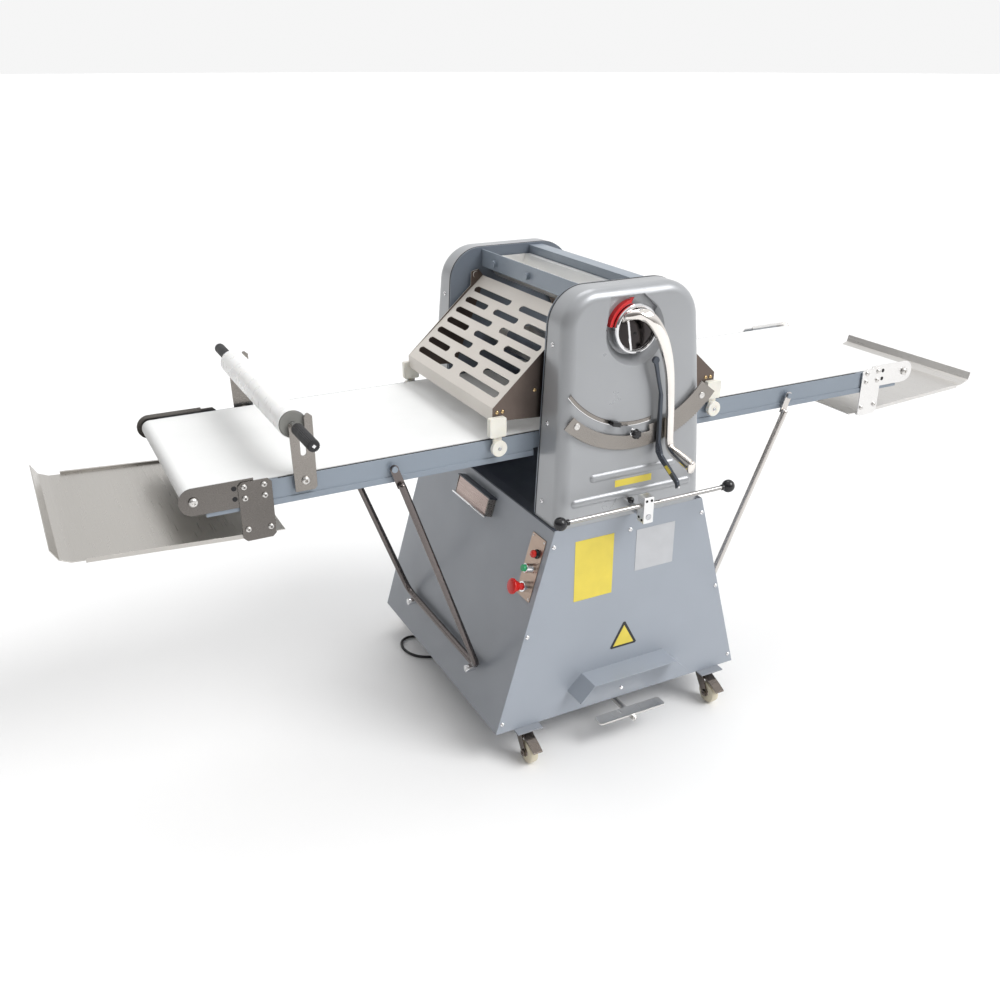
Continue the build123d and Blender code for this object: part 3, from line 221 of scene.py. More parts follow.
def make_materials():
    """One finish for each slot of the record, then the finishes that single pieces need; several are darker
    or lighter copies of one steel, with painted light and shade in their colour.
    """
    return {
        "panel_paint": paint("panel paint", (0.325, 0.357, 0.405)),
        # A darker copy of the panel paint: painted shade on the same paint.
        "side_paint": paint("side paint", (0.265, 0.284, 0.316)),
        "cover_silver": paint("cover silver", (0.36, 0.37, 0.385), 0.34, 0.35, 0.05),
        "rail_grey": paint("rail grey", (0.24, 0.28, 0.33), 0.35, 0.2),
        "dark_plate": paint("dark plate", (0.035, 0.042, 0.058), 0.4),
        "stainless": brushed("stainless", (0.68, 0.665, 0.645), 0.33, (1, 0.02, 1), 0.05, 0.03),
        # Darker copy of the stainless for the left end plates and the scale slot's inner rim: painted
        # shade.
        "painted_shade_steel": brushed("painted shade steel", (0.167, 0.155, 0.145), 0.3, (1, 0.02, 1), 0.05, 0.06),
        # Darker copy of the stainless for the toothed sector, the pin's brackets, the scale slot and the
        # pocket's ends: painted shade.
        "dim_steel_painted_shade": brushed("dim steel, painted shade", (0.29, 0.27, 0.25), 0.3, (1, 1, 1), 0.05, 0.06),
        # Darker copy of the strut steel for the left strut: painted shade.
        "strut_painted_shade": brushed("strut steel", (0.165, 0.145, 0.14), 0.24, (1, 1, 0.03), 0.05, 0.08),
        # Lighter copy of the strut steel for the right strut: painted light.
        "strut_painted_light": brushed("lit strut steel", (0.64, 0.61, 0.585), 0.24, (1, 1, 0.03), 0.05, 0.08),
        # Lighter copy of the stainless for the right end plates: painted light.
        "end_painted_light": brushed("lit end steel", (0.78, 0.77, 0.76), 0.33, (1, 0.02, 1), 0.05, 0.03),
        # Darker copy of the stainless for the left tray: painted shade.
        "tray_painted_shade": brushed("shaded tray", (0.52, 0.50, 0.47), 0.33, (1, 0.02, 1), 0.05, 0.03),
        "chrome": polished("chrome", (0.80, 0.80, 0.81)),
        # Warm-tinted chrome for the crank: the tint is a painted reflection of brownish surroundings.
        "crank_chrome_painted_reflection": polished("crank chrome, painted warm reflection", (0.86, 0.82, 0.78)),
        "tower_paint": paint("tower paint", (0.14, 0.165, 0.20), 0.4),
        "tray_steel": brushed("tray steel", (0.85, 0.845, 0.83), 0.45, (1, 0.02, 1), 0.05, 0.03),
        "guard_beige": paint("guard beige", (0.66, 0.62, 0.57), 0.42),
        "cheek_brown": brushed("guard cheek", (0.15, 0.12, 0.105), 0.35, (1, 1, 0.03), 0.05, 0.05),
        "motor_alloy": brushed("motor alloy", (0.45, 0.47, 0.50), 0.5, (1, 1, 1)),
        "bearing_iron": brushed("bearing iron", (0.20, 0.20, 0.22), 0.5, (1, 1, 1)),
        "belt_white": weave("belt", (0.76, 0.765, 0.76)),
        "nylon": plastic("nylon", (0.80, 0.78, 0.71), 0.45, 300, 0.1, 0.0003, 0.2),
        "black_plastic": plastic("black plastic", (0.012, 0.012, 0.014), 0.25),
        # Steel darkened to about half: a painted darker reflection, in place of the white floor it would
        # reflect.
        "lever_steel": brushed("lever steel", (0.52, 0.53, 0.55), 0.22),
        "black_cord": plastic("black cord", (0.012, 0.012, 0.013), 0.5, 900, 0.2),
        "green_plastic": plastic("green plastic", (0.02, 0.33, 0.13), 0.3),
        "red_plastic": plastic("red plastic", (0.58, 0.012, 0.01), 0.3),
        "zinc": brushed("fork zinc", (0.225, 0.195, 0.175), 0.2, (1, 1, 1), 0.08, 0.12),
        "wheel_cream": plastic("wheel cream", (0.66, 0.60, 0.46), 0.4, 200, 0.2, 0.0004),
        "trigger_dark": paint("trigger blueing", (0.075, 0.085, 0.105), 0.32, 0.6, 0.05),
        "cast_white": brushed("bright casting", (0.80, 0.80, 0.80), 0.33, (1, 1, 1), 0.1),
        "legend_steel": brushed("legend plate", (0.43, 0.33, 0.27), 0.34, (1, 0.03, 1)),
        "copper_steel": brushed("warm steel", (0.45, 0.36, 0.33), 0.3),
        # Near-black steel for the hub's face: painted dark reflection, in place of the surroundings it
        # would reflect.
        "hub_face_painted_reflection": brushed("hub face, painted dark reflection", (0.045, 0.04, 0.04), 0.16, (1, 1, 1), 0.05, 0.1),
        # Darkened steel for the lever's rod: a painted darker reflection, in place of the white floor it
        # would reflect.
        "shaft_steel_painted_reflection": brushed("shaft steel", (0.41, 0.40, 0.39), 0.16, (0.03, 1, 1), 0.05, 0.08),
        "pin_white": plastic("pin white", (0.86, 0.86, 0.85), 0.3, 250, 0.06, 0.0003, 0.1),
        "pin_end": plastic("pin end", (0.21, 0.21, 0.195), 0.5, 250, 0.15),
        "black_rubber": plastic("black rubber", (0.016, 0.016, 0.018), 0.55, 500, 0.3),
        "red_lens": plastic("red lens", (0.62, 0.02, 0.012), 0.12, 200, 0.05),
        "red_ink": plastic("red ink", (0.62, 0.018, 0.02), 0.4),
        "yellow_tag": plastic("yellow label", (0.74, 0.60, 0.08), 0.4, 400, 0.1),
        "grey_tag": plastic("grey label", (0.50, 0.51, 0.53), 0.35, 400, 0.1),
        "black_tag": plastic("black label", (0.02, 0.02, 0.022), 0.4),
        "brass": polished("brass", (0.62, 0.46, 0.25), 0.2),
        "shadow_gap": plastic("shadow gap", (0.01, 0.01, 0.012), 0.7),
    }


MATERIALS = make_materials()


# Left and right pieces of one steel get a dark and a bright copy: painted shade on the left, painted light
# on the right. The sector and the pin's brackets get darkened steel: painted shade.
FINISH_OF = {"left_end_plates": "painted_shade_steel", "right_end_plates": "end_painted_light",
             "left_tray": "tray_painted_shade", "pin_brackets": "dim_steel_painted_shade",
             "left_guard": "guard_beige", "right_guard": "guard_beige",
             "side_plates": "tower_paint", "cross_beams": "rail_grey", "flour_tray": "tray_steel",
             "toothed_sector": "dim_steel_painted_shade", "left_strut": "strut_painted_shade", "right_strut": "strut_painted_light"}


def dress_frame():
    """Every CAD node gets the finish of its slot, or a finish of its own; some of these are darker or
    lighter copies that paint shade and light into the colour.
    """
    for part in frame["record"]["subparts"]:
        item = nodes[part["node"]]
        item.data.materials.clear()
        item.data.materials.append(MATERIALS[FINISH_OF.get(part["node"], part["material_slot"])])
    for side in ("left", "right"):
        mesh = nodes[side + "_guard"].data
        mesh.materials.append(MATERIALS["cheek_brown"])
        for polygon in mesh.polygons:
            if abs(polygon.normal.y) > 0.9:
                polygon.material_index = 1


# ---- room -------------------------------------------------------------------------
FLOOR_R, FLOOR_SIDES = 90.0, 96


def add_floor():
    """A wide white disc just under the castors."""
    finish = Finish("floor", (0.90, 0.90, 0.90), 0.6)
    finish.rough(finish.noise(8), 0.05)
    mesh = bpy.data.meshes.new("floor")
    turns = [2 * math.pi * i / FLOOR_SIDES for i in range(FLOOR_SIDES)]
    rim = [(FLOOR_R * math.cos(t), FLOOR_R * math.sin(t), -0.0005) for t in turns]
    mesh.from_pydata(rim, [], [tuple(range(FLOOR_SIDES))])
    mesh.materials.append(finish.material)
    floor = bpy.data.objects.new("floor", mesh)
    bpy.context.scene.collection.objects.link(floor)


SKY_BRIGHT_SIDE = (0.50, 0.32, 0.80)


def add_sky():
    """A studio that is bright above and to the right, and dimmer to the left and the front."""
    world = bpy.data.worlds.new("studio")
    world.use_nodes = True
    tree = world.node_tree
    sky = tree.nodes["Background"]
    coords = tree.nodes.new("ShaderNodeTexCoord")
    lean = tree.nodes.new("ShaderNodeVectorMath")
    lean.operation = "DOT_PRODUCT"
    lean.inputs[1].default_value = SKY_BRIGHT_SIDE
    spread = tree.nodes.new("ShaderNodeMapRange")
    spread.inputs["From Min"].default_value = -0.6
    spread.inputs["From Max"].default_value = 0.7
    ramp = tree.nodes.new("ShaderNodeValToRGB")
    tree.links.new(coords.outputs["Generated"], lean.inputs[0])
    tree.links.new(lean.outputs["Value"], spread.inputs["Value"])
    tree.links.new(spread.outputs["Result"], ramp.inputs["Fac"])
    tree.links.new(ramp.outputs["Color"], sky.inputs["Color"])
    stops = ramp.color_ramp.elements
    stops[0].position = 0.0
    stops[0].color = (0.13, 0.122, 0.117, 1)
    stops[1].position = 0.70
    stops[1].color = (1.0, 1.0, 1.0, 1)
    middle = stops.new(0.45)
    middle.color = (0.30, 0.292, 0.288, 1)
    sky.inputs["Strength"].default_value = 0.92
    bpy.context.scene.world = world


def aim_lamp(name, light, towards):
    """A lamp that shines from the given direction."""
    lamp = bpy.data.objects.new(name, light)
    lamp.rotation_euler = towards.to_track_quat("Z", "Y").to_euler()
    bpy.context.scene.collection.objects.link(lamp)
    return lamp


SUN_FROM = (0.50, -0.62, 0.80)
CROWN_AT = (0.4, 0.9, 3.6)
CROWN_AIM = (0, 0, 0.7)


def add_lights():
    """A broad sun from the front right and a soft lamp above the tower."""
    sun = bpy.data.lights.new("key", "SUN")
    sun.energy = 1.9
    sun.angle = math.radians(32)
    aim_lamp("key", sun, Vector(SUN_FROM))
    crown = bpy.data.lights.new("crown", "AREA")
    crown.energy = 20
    crown.size = 1.6
    aim_lamp("crown", crown, Vector(CROWN_AT) - Vector(CROWN_AIM)).location = CROWN_AT
    bpy.context.scene.view_settings.view_transform = "Standard"


def add_room():
    add_floor()
    add_sky()
    add_lights()


# ---- mains lead -------------------------------------------------------------------
CORD_ROUTE = [(-296, 232, 60), (-296, 232, 41), (-298, 252, 20), (-310, 284, 6.5),
              (-338, 304, 4.5), (-368, 296, 4.5), (-384, 262, 4.5), (-381, 220, 4.5),
              (-360, 184, 4.5), (-324, 162, 4.5), (-272, 152, 4.5), (-216, 160, 4.5),
              (-168, 190, 4.5), (-128, 238, 4.5), (-98, 292, 4.5), (-82, 350, 4.5),
              (-58, 400, 4.5), (-20, 438, 4.5), (22, 458, 4.5), (62, 464.3, 4.5)]
LEAD_LENGTH, LEAD_DIAMETER = 1.8, 0.008
COIL_CENTRE = (70.0, 526.5)
# Angles, in degrees, where the coil starts, climbs, lies on top and ends.
COIL_START, COIL_CLIMB, COIL_TOP, COIL_END = -75, 645, 720, 990


def coil_points():
    """Two neat turns on the floor, winding inwards, and one more lying on top of them."""
    points = []
    for degrees in range(COIL_START, COIL_END + 1, 22):
        if degrees <= COIL_CLIMB:
            radius = 54.4 - 7.6 * (degrees - COIL_START) / 360
            height = 4.5
        elif degrees <= COIL_TOP:
            radius = 37.6
            height = 4.5 + 8.2 * (degrees - COIL_CLIMB) / (COIL_TOP - COIL_CLIMB)
        else:
            radius = 37.6 + 12.4 * min(1, (degrees - COIL_TOP) / 150)
            height = 12.7
        turn = math.radians(degrees)
        points.append((COIL_CENTRE[0] + radius * math.cos(turn),
                       COIL_CENTRE[1] + radius * math.sin(turn), height))
    return points


def add_cord():
    """The mains lead at its real length, from its gland over the floor to the plug."""
    route = CORD_ROUTE + coil_points() + [(84, 476.5, 12.3), (98, 476.5, 11), (112, 476.5, 10)]
    curve = bpy.data.curves.new("mains_lead", "CURVE")
    curve.dimensions = "3D"
    curve.resolution_u = 6
    spline = curve.splines.new("NURBS")
    spline.points.add(len(route) - 1)
    for item, spot in zip(spline.points, route):
        item.co = (*P(*spot), 1)
    spline.order_u = 3
    spline.use_endpoint_u = True
    curve.bevel_depth = LEAD_DIAMETER / 2
    curve.bevel_resolution = 5
    curve.use_fill_caps = True
    curve.materials.append(MATERIALS["black_cord"])
    lead = bpy.data.objects.new("mains_lead", curve)
    bpy.context.scene.collection.objects.link(lead)
    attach(lead, "base")
    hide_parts("power_cord", "cord_coil")


def add_gland():
    """Hexagon-headed gland and a ribbed, tapering sleeve that the lead comes out of."""
    profile = [(0, 0), (13, 0), (13, 8.4), (12, 9.4), (10.5, 10), (10.5, 12)]
    for step in range(7):
        along, wide = 12 + 3.6 * step, 8.8 - 0.52 * step
        profile += [(wide, along), (wide, along + 2.2)]
        profile += [(wide - 1.5, along + 2.4), (wide - 1.5, along + 3.4)]
    profile += [(5.2, 38), (4.6, 38.8), (0, 38.8)]
    relief = turned("strain_relief", "base", "black_plastic", (-296, 232, 98.4), (0, 0, -1), profile, 32,
                    MATERIALS["black_rubber"])
    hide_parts("cord_gland")


# ---- shapes -----------------------------------------------------------------------
X, Y, Z = Vector((1, 0, 0)), Vector((0, 1, 0)), Vector((0, 0, 1))


def add(name, points, faces, body, slot, material=None, sharp=38):
    """A mesh piece from points in millimetres, riding on a body."""
    mesh = bpy.data.meshes.new(name)
    mesh.from_pydata([P(*p) for p in points], [], faces)
    work = bmesh.new()
    work.from_mesh(mesh)
    bmesh.ops.remove_doubles(work, verts=work.verts, dist=1e-6)
    bmesh.ops.recalc_face_normals(work, faces=work.faces)
    work.to_mesh(mesh)
    work.free()
    mesh.shade_smooth()
    mesh.set_sharp_from_angle(angle=math.radians(sharp))
    mesh.materials.append(material or MATERIALS[slot])
    piece = bpy.data.objects.new(name, mesh)
    bpy.context.scene.collection.objects.link(piece)
    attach(piece, body)
    return piece


def bevel(piece, width, segments=2, angle=30):
    """Rounds a piece's edges; the width is in millimetres."""
    item = piece.modifiers.new("bevel", "BEVEL")
    item.width = width / 1000
    item.segments = segments
    item.limit_method = "ANGLE"
    item.angle_limit = math.radians(angle)
    item.harden_normals = True
    return piece


def basis(axis):
    """The axis at unit length and two directions at right angles to it."""
    axis = Vector(axis).normalized()
    side = axis.cross(Z)
    if side.length < 0.1:
        side = Vector((1, 0, 0))
    side.normalize()
    return axis, side, axis.cross(side)


def turned_mesh(origin, axis, profile, steps=40):
    """Points and faces of a profile of (radius, distance) turned about an axis."""
    axis, u, v = basis(axis)
    origin = Vector(origin)
    points, faces, rings = [], [], []
    for radius, along in profile:
        ring = []
        count = 1 if radius < 1e-6 else steps
        for i in range(count):
            turn = 2 * math.pi * i / steps
            arm = u * math.cos(turn) + v * math.sin(turn)
            ring.append(len(points))
            points.append(origin + axis * along + arm * radius)
        rings.append(ring)
    for low, high in zip(rings, rings[1:]):
        for i in range(steps):
            j = (i + 1) % steps
            if len(low) == 1 and len(high) == 1:
                continue
            if len(low) == 1:
                faces.append((low[0], high[i], high[j]))
            elif len(high) == 1:
                faces.append((low[j], low[i], high[0]))
            else:
                faces.append((low[i], low[j], high[j], high[i]))
    return points, faces


def joined(parts):
    """Several (points, faces) pairs as one."""
    points, faces = [], []
    for more_points, more_faces in parts:
        base = len(points)
        points += more_points
        faces += [tuple(base + i for i in face) for face in more_faces]
    return points, faces


def turned(name, body, slot, origin, axis, profile, steps=40, material=None, sharp=38):
    """A piece turned from a profile of (radius, distance)."""
    points, faces = turned_mesh(origin, axis, profile, steps)
    return add(name, points, faces, body, slot, material, sharp)


def lofted(name, body, slot, rings, material=None, sharp=60):
    """A skin over closed rings of equal count, capped at both ends."""
    count = len(rings[0])
    points = [p for ring in rings for p in ring]
    faces = []
    for k in range(len(rings) - 1):
        for i in range(count):
            j = (i + 1) % count
            faces.append((k * count + i, k * count + j, (k + 1) * count + j, (k + 1) * count + i))
    faces.append(tuple(range(count - 1, -1, -1)))
    faces.append(tuple((len(rings) - 1) * count + i for i in range(count)))
    return add(name, points, faces, body, slot, material, sharp)


def prism_mesh(outline, origin, across, up, depth):
    """An outline in a plane, carried along the plane's normal."""
    across, up = Vector(across).normalized(), Vector(up).normalized()
    normal = across.cross(up)
    origin = Vector(origin)
    count = len(outline)
    front = [origin + across * a + up * b for a, b in outline]
    points = front + [p + normal * depth for p in front]
    faces = [tuple(range(count))[::-1], tuple(range(count, 2 * count))]
    for i in range(count):
        j = (i + 1) % count
        faces.append((i, j, count + j, count + i))
    return points, faces


def prism(name, body, slot, outline, origin, across, up, depth, edge=0.0, material=None):
    """A piece of constant thickness, with its edges rounded by edge millimetres."""
    points, faces = prism_mesh(outline, origin, across, up, depth)
    piece = add(name, points, faces, body, slot, material)
    return bevel(piece, edge) if edge else piece


def round_rect(width, height, radius, steps=5):
    """A rectangle about (0, 0) with rounded corners."""
    corners = []
    for sx, sy, start in ((1, 1, 0), (-1, 1, 90), (-1, -1, 180), (1, -1, 270)):
        cx, cy = sx * (width / 2 - radius), sy * (height / 2 - radius)
        for i in range(steps + 1):
            turn = math.radians(start + 90 * i / steps)
            corners.append((cx + radius * math.cos(turn), cy + radius * math.sin(turn)))
    return corners


def oval(width, depth, power=2.6, steps=28):
    """A rounded-rectangle ring as (across, up) pairs."""
    ring = []
    for i in range(steps):
        turn = 2 * math.pi * i / steps
        c, s = math.cos(turn), math.sin(turn)
        ring.append((math.copysign(abs(c) ** (2 / power), c) * width / 2,
                     math.copysign(abs(s) ** (2 / power), s) * depth / 2))
    return ring


def smooth_path(points, per_span=8):
    """Points of a Catmull-Rom line through rows of numbers."""
    rows = [tuple(2 * a - b for a, b in zip(points[0], points[1]))] + list(points)
    rows.append(tuple(2 * a - b for a, b in zip(points[-1], points[-2])))
    line = []
    for k in range(1, len(rows) - 2):
        before, here, there, after = rows[k - 1:k + 3]
        for i in range(per_span):
            t = i / per_span
            line.append(tuple(0.5 * (2 * b + (c - a) * t + (2 * a - 5 * b + 4 * c - d) * t * t
                                     + (3 * b - a - 3 * c + d) * t ** 3)
                              for a, b, c, d in zip(before, here, there, after)))
    line.append(tuple(points[-1]))
    return line


def swept_rings(rows, power, across_hint):
    """Rings square to a line; each row is x, y, z, width across the hint, depth."""
    rings = []
    for i, row in enumerate(rows):
        here = Vector(row[:3])
        ahead = Vector(rows[min(i + 1, len(rows) - 1)][:3])
        behind = Vector(rows[max(i - 1, 0)][:3])
        tangent = (ahead - behind).normalized()
        across = (Vector(across_hint) - tangent * tangent.dot(Vector(across_hint))).normalized()
        up = tangent.cross(across)
        rings.append([here + across * a + up * b for a, b in oval(row[3], row[4], power)])
    return rings


def dome(radius, height):
    """A button-head screw's profile, with the socket in its top."""
    return [(radius, -0.5), (radius, height * 0.15), (radius * 0.93, height * 0.5),
            (radius * 0.75, height * 0.82), (radius * 0.5, height), (radius * 0.36, height),
            (radius * 0.33, height * 0.45), (0, height * 0.4)]


def heads(name, body, slot, spots, radius, height, material=None):
    """Button-head screws; each spot is a point and the direction it faces."""
    parts = [turned_mesh(point, axis, dome(radius, height), 20) for point, axis in spots]
    points, faces = joined(parts)
    return add(name, points, faces, body, slot, material)


def knurl(origin, axis, radius, length, ridges, rise):
    """A grip's barrel whose ridges run along it."""
    axis, u, v = basis(axis)
    origin = Vector(origin)
    rings = []
    steps = ridges * 4
    ends = [(0, 0.86), (1.5, 0.97), (3, 1)]
    for along, share in ends + [(length - step, size) for step, size in reversed(ends)]:
        ring = []
        for i in range(steps):
            turn = 2 * math.pi * i / steps
            reach = (radius - (rise if i % 4 in (0, 1) else 0)) * share
            ring.append(origin + axis * along + (u * math.cos(turn) + v * math.sin(turn)) * reach)
        rings.append(ring)
    return rings


# ---- crank ------------------------------------------------------------------------
CRANK_Z = 1108.0
ARM = [(-30, -352, 1130, 26, 14), (-24, -366, 1143, 30, 22), (0, -381, 1146, 31, 24),
       (22, -389, 1130, 31, 24), (46, -393, 1094, 29, 22), (64, -394.5, 1050, 26, 20),
       (76, -395, 1000, 22, 18), (83, -394.5, 940, 20, 17), (87, -394, 880, 19, 17),
       (89, -394, 835, 19, 17)]
KNEE = [(90, -395, 820, 19, 18), (90.5, -399, 812, 19.5, 20), (91, -408, 806, 20, 24)]
GRIP = [(91.5, -430, 801, 20, 27), (92, -460, 794.5, 20, 29), (92, -478, 790.5, 20, 31),
        (92, -484, 789, 21, 34), (92, -488, 788, 18, 31)]


def add_crank():
    rows = smooth_path(ARM, 6) + smooth_path(KNEE + GRIP, 5)
    # The arm's chrome is warm-tinted: painted reflection.
    arm = lofted("crank_arm", "crank", "chrome", swept_rings(rows, 2.9, (1, 0, 0.05)),
                 MATERIALS["crank_chrome_painted_reflection"], 70)
    hub = turned("crank_hub", "crank", "chrome", (0, -345, CRANK_Z), (0, -1, 0),
                 [(0, 0), (57, 0), (59, 2), (59, 12), (57.5, 15), (54.5, 16.3), (51.5, 15.6), (50, 12),
                  (0, 11)], 72, sharp=25)
    # The hub's face is near-black: painted dark reflection.
    face = turned("crank_face", "crank", "chrome", (0, -345, CRANK_Z), (0, -1, 0),
                  [(0, 10), (50.2, 10), (50.2, 11.6), (48.5, 12.9), (0, 13.1)], 72, MATERIALS["hub_face_painted_reflection"])
    journal = turned("crank_journal", "crank", "chrome", (0, -276, CRANK_Z), (0, -1, 0),
                     [(0, 0), (9, 0), (10, 1), (10, 70), (0, 70)])
    rib = lofted("crank_rib", "crank", "chrome", swept_rings(
        [(-27, -357, 1140, 5, 4), (-26, -358.5, 1134, 6, 5), (-14, -358.5, 1062, 6, 5),
         (-13, -357, 1057, 5, 4)],
        3, (1, 0, 0)))
    screw = heads("crank_screw", "crank", "black_plastic", [((-4, -357.5, 1097), (0, -1, 0))], 4.5, 2.5)
    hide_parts("crank_handle")
    for item in (hub, face, journal, rib, screw):
        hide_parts("crank_handle")

    blade = [(-391, 950), (-382.5, 950), (-383, 812), (-385, 800), (-400, 786), (-470, 748),
             (-474, 736), (-482, 742), (-478, 757), (-408, 800), (-394, 830)]
    plate = prism("trigger_blade", "crank_trigger", "lever_steel", blade, (57, 0, 0), Y, Z, 8, 0.8,
                  MATERIALS["trigger_dark"])
    link = lofted("trigger_link", "crank_trigger", "lever_steel", swept_rings(
        [(61, -386.5, 940, 8, 8), (61, -386.5, 950, 8, 8), (50, -386.5, 992, 8, 8),
         (40, -386.5, 1035, 11, 8)],
        4, (1, 0, 0)), MATERIALS["trigger_dark"])
    boss = turned("trigger_boss", "crank_trigger", "lever_steel", (40, -381.8, 1035), (0, -1, 0),
                  [(0, 0), (8, 0), (9, 1), (9, 7), (8, 8.4), (0, 8.4)], 32, MATERIALS["trigger_dark"])
    hook = lofted("trigger_hook", "crank_trigger", "lever_steel", swept_rings(
        smooth_path([(61, -462, 756, 7, 5), (61, -474, 748, 6, 6), (61, -481, 741, 5, 5),
                     (61, -484, 747, 4, 4)], 5),
        2.4, (1, 0, 0)), MATERIALS["chrome"])
    tag = prism("trigger_tag", "crank_trigger", "lever_steel",
                [(-455, 772), (-434, 783), (-425, 776), (-447, 763)], (57, 0, 0), Y, Z, -0.35,
                material=MATERIALS["yellow_tag"])
    for item in (plate, link, boss, hook, tag):
        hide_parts("crank_trigger")


def polar(radius, degrees, y):
    """A point about the crank's axis; 0 degrees hangs straight down, positive to the right."""
    turn = math.radians(degrees)
    return (radius * math.sin(turn), y, CRANK_Z - radius * math.cos(turn))


# The stop knob on the toothed sector: its angle and radius, and its outline from front to back.
KNOB_RADIUS, KNOB_DEGREES = 246, -2.5
KNOB_OUTLINE = [(-404, 0.5), (-403.4, 0.8), (-402, 0.95), (-399.5, 1), (-394, 1), (-391, 0.93),
                (-389.8, 0.75)]


def add_stop_knob():
    spot = polar(KNOB_RADIUS, KNOB_DEGREES, 0)
    u, v = basis((0, -1, 0))[1:]
    centre = Vector(spot)
    rings = []
    for along, share in KNOB_OUTLINE:
        ring = []
        for i in range(70):
            turn = 2 * math.pi * i / 70
            reach = (11.4 + 1.2 * math.cos(7 * turn)) * share
            ring.append(centre + Y * along + (u * math.cos(turn) + v * math.sin(turn)) * reach)
        rings.append(ring)
    star = lofted("stop_star", "stop_knob", "black_plastic", rings[::-1])
    collar = turned("stop_collar", "stop_knob", "black_plastic", (spot[0], -380.6, spot[2]), (0, -1, 0),
                    [(0, 0), (9, 0), (9, 3), (7, 4), (6, 9.5), (0, 9.5)], 32, MATERIALS["chrome"])
    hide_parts("stop_knob")
    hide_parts("stop_knob")


# ---- lever, knobs -----------------------------------------------------------------
LEVER_Y, LEVER_Z = -446.0, 696.0


def ball(radius, neck):
    """A moulded ball knob's profile with its short neck, ending at the rod."""
    rows = [(0, radius)]
    for i in range(1, 15):
        turn = math.pi * i / 16
        rows.append((radius * math.sin(turn), radius * math.cos(turn)))
    end = -radius * 1.4
    return rows + [(neck, -radius * 0.97), (neck, -radius * 1.35), (neck * 0.7, end), (0, end)]


def add_lever():
    # The rod's steel is darkened: painted darker reflection.
    rod = turned("lever_rod", "lever", "lever_steel", (-236, LEVER_Y, LEVER_Z), X,
                 [(0, 0), (5, 0), (5.6, 14), (5.8, 30), (5.8, 442), (5.6, 458), (5, 472), (0, 472)], 32,
                 MATERIALS["shaft_steel_painted_reflection"])
    clamp = prism("lever_clamp", "lever", "lever_steel", round_rect(28, 68, 2), (-6, -432, 686), X, Z,
                  28, 0.8, MATERIALS["cast_white"])
    # The axle and the eye are in darkened steel: painted darker reflection.
    axle = turned("lever_axle", "lever", "lever_steel", (0, -380.4, 664), (0, -1, 0),
                  [(0, 0), (9.5, 0), (10, 1), (10, 52), (0, 52)], 32)
    eye = turned("lever_eye", "lever", "lever_steel", (-6, -460, 669), (0, -1, 0),
                 [(8, -0.5), (8, 0.5), (7, 1), (6, 0.6), (0, 0.6)], 32)
    sockets = heads("lever_screws", "lever", "lever_steel",
                    [((-13, -459.6, 711), (0, -1, 0)), ((1, -459.6, 711), (0, -1, 0)),
                     ((-19.6, -440, 664), (-1, 0, 0)), ((-19.6, -452, 660), (-1, 0, 0))],
                    3.6, 2.2, MATERIALS["black_plastic"])
    for item in (rod, clamp, axle, eye, sockets):
        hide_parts("control_lever")
    for sign, side in ((-1, "left"), (1, "right")):
        knob = turned("lever_knob_" + side, "lever", "lever_steel", (sign * 245, LEVER_Y, LEVER_Z),
                      (sign, 0, 0), ball(16.5, 7.5), 40, MATERIALS["black_plastic"])
        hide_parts("control_lever")
    turned("latch_ball", "base", "black_plastic", (-15, -396, 690), (0, -1, 0), ball(8.5, 4), 28)
    turned("latch_stem", "base", "stainless", (-15, -377, 690), (0, -1, 0),
           [(0, 0), (4, 0), (4, 14), (0, 14)], 20)
    turned("pedal_nut", "pedal", "stainless", (0, -445.6, 70), (0, -1, 0),
           [(0, 0), (8.5, 0), (8.5, 5), (7.5, 6), (4, 6.5), (4, 9), (0, 9.4)], 6)


# ---- buttons on the left side -------------------------------------------------------
# The base's flanks lean in: half width at the foot, how far they lean, the foot's height, their height.
FLANK_HALF, FLANK_LEAN, FLANK_FOOT_Z, FLANK_HEIGHT = 380, 160.5, 98.5, 543.5


def base_half(z):
    return FLANK_HALF - FLANK_LEAN * (z - FLANK_FOOT_Z) / FLANK_HEIGHT


SLOPE = math.atan(FLANK_LEAN / FLANK_HEIGHT)
OUT = Vector((-math.cos(SLOPE), 0, math.sin(SLOPE)))
UPHILL = Vector((math.sin(SLOPE), 0, math.cos(SLOPE)))


def side_spot(y, z, out=0.0, up=0.0):
    return Vector((-base_half(z), y, z)) + OUT * out + UPHILL * up


BUTTON_Y = -336
LAMP_Z, START_Z, STOP_Z = 567, 530, 482


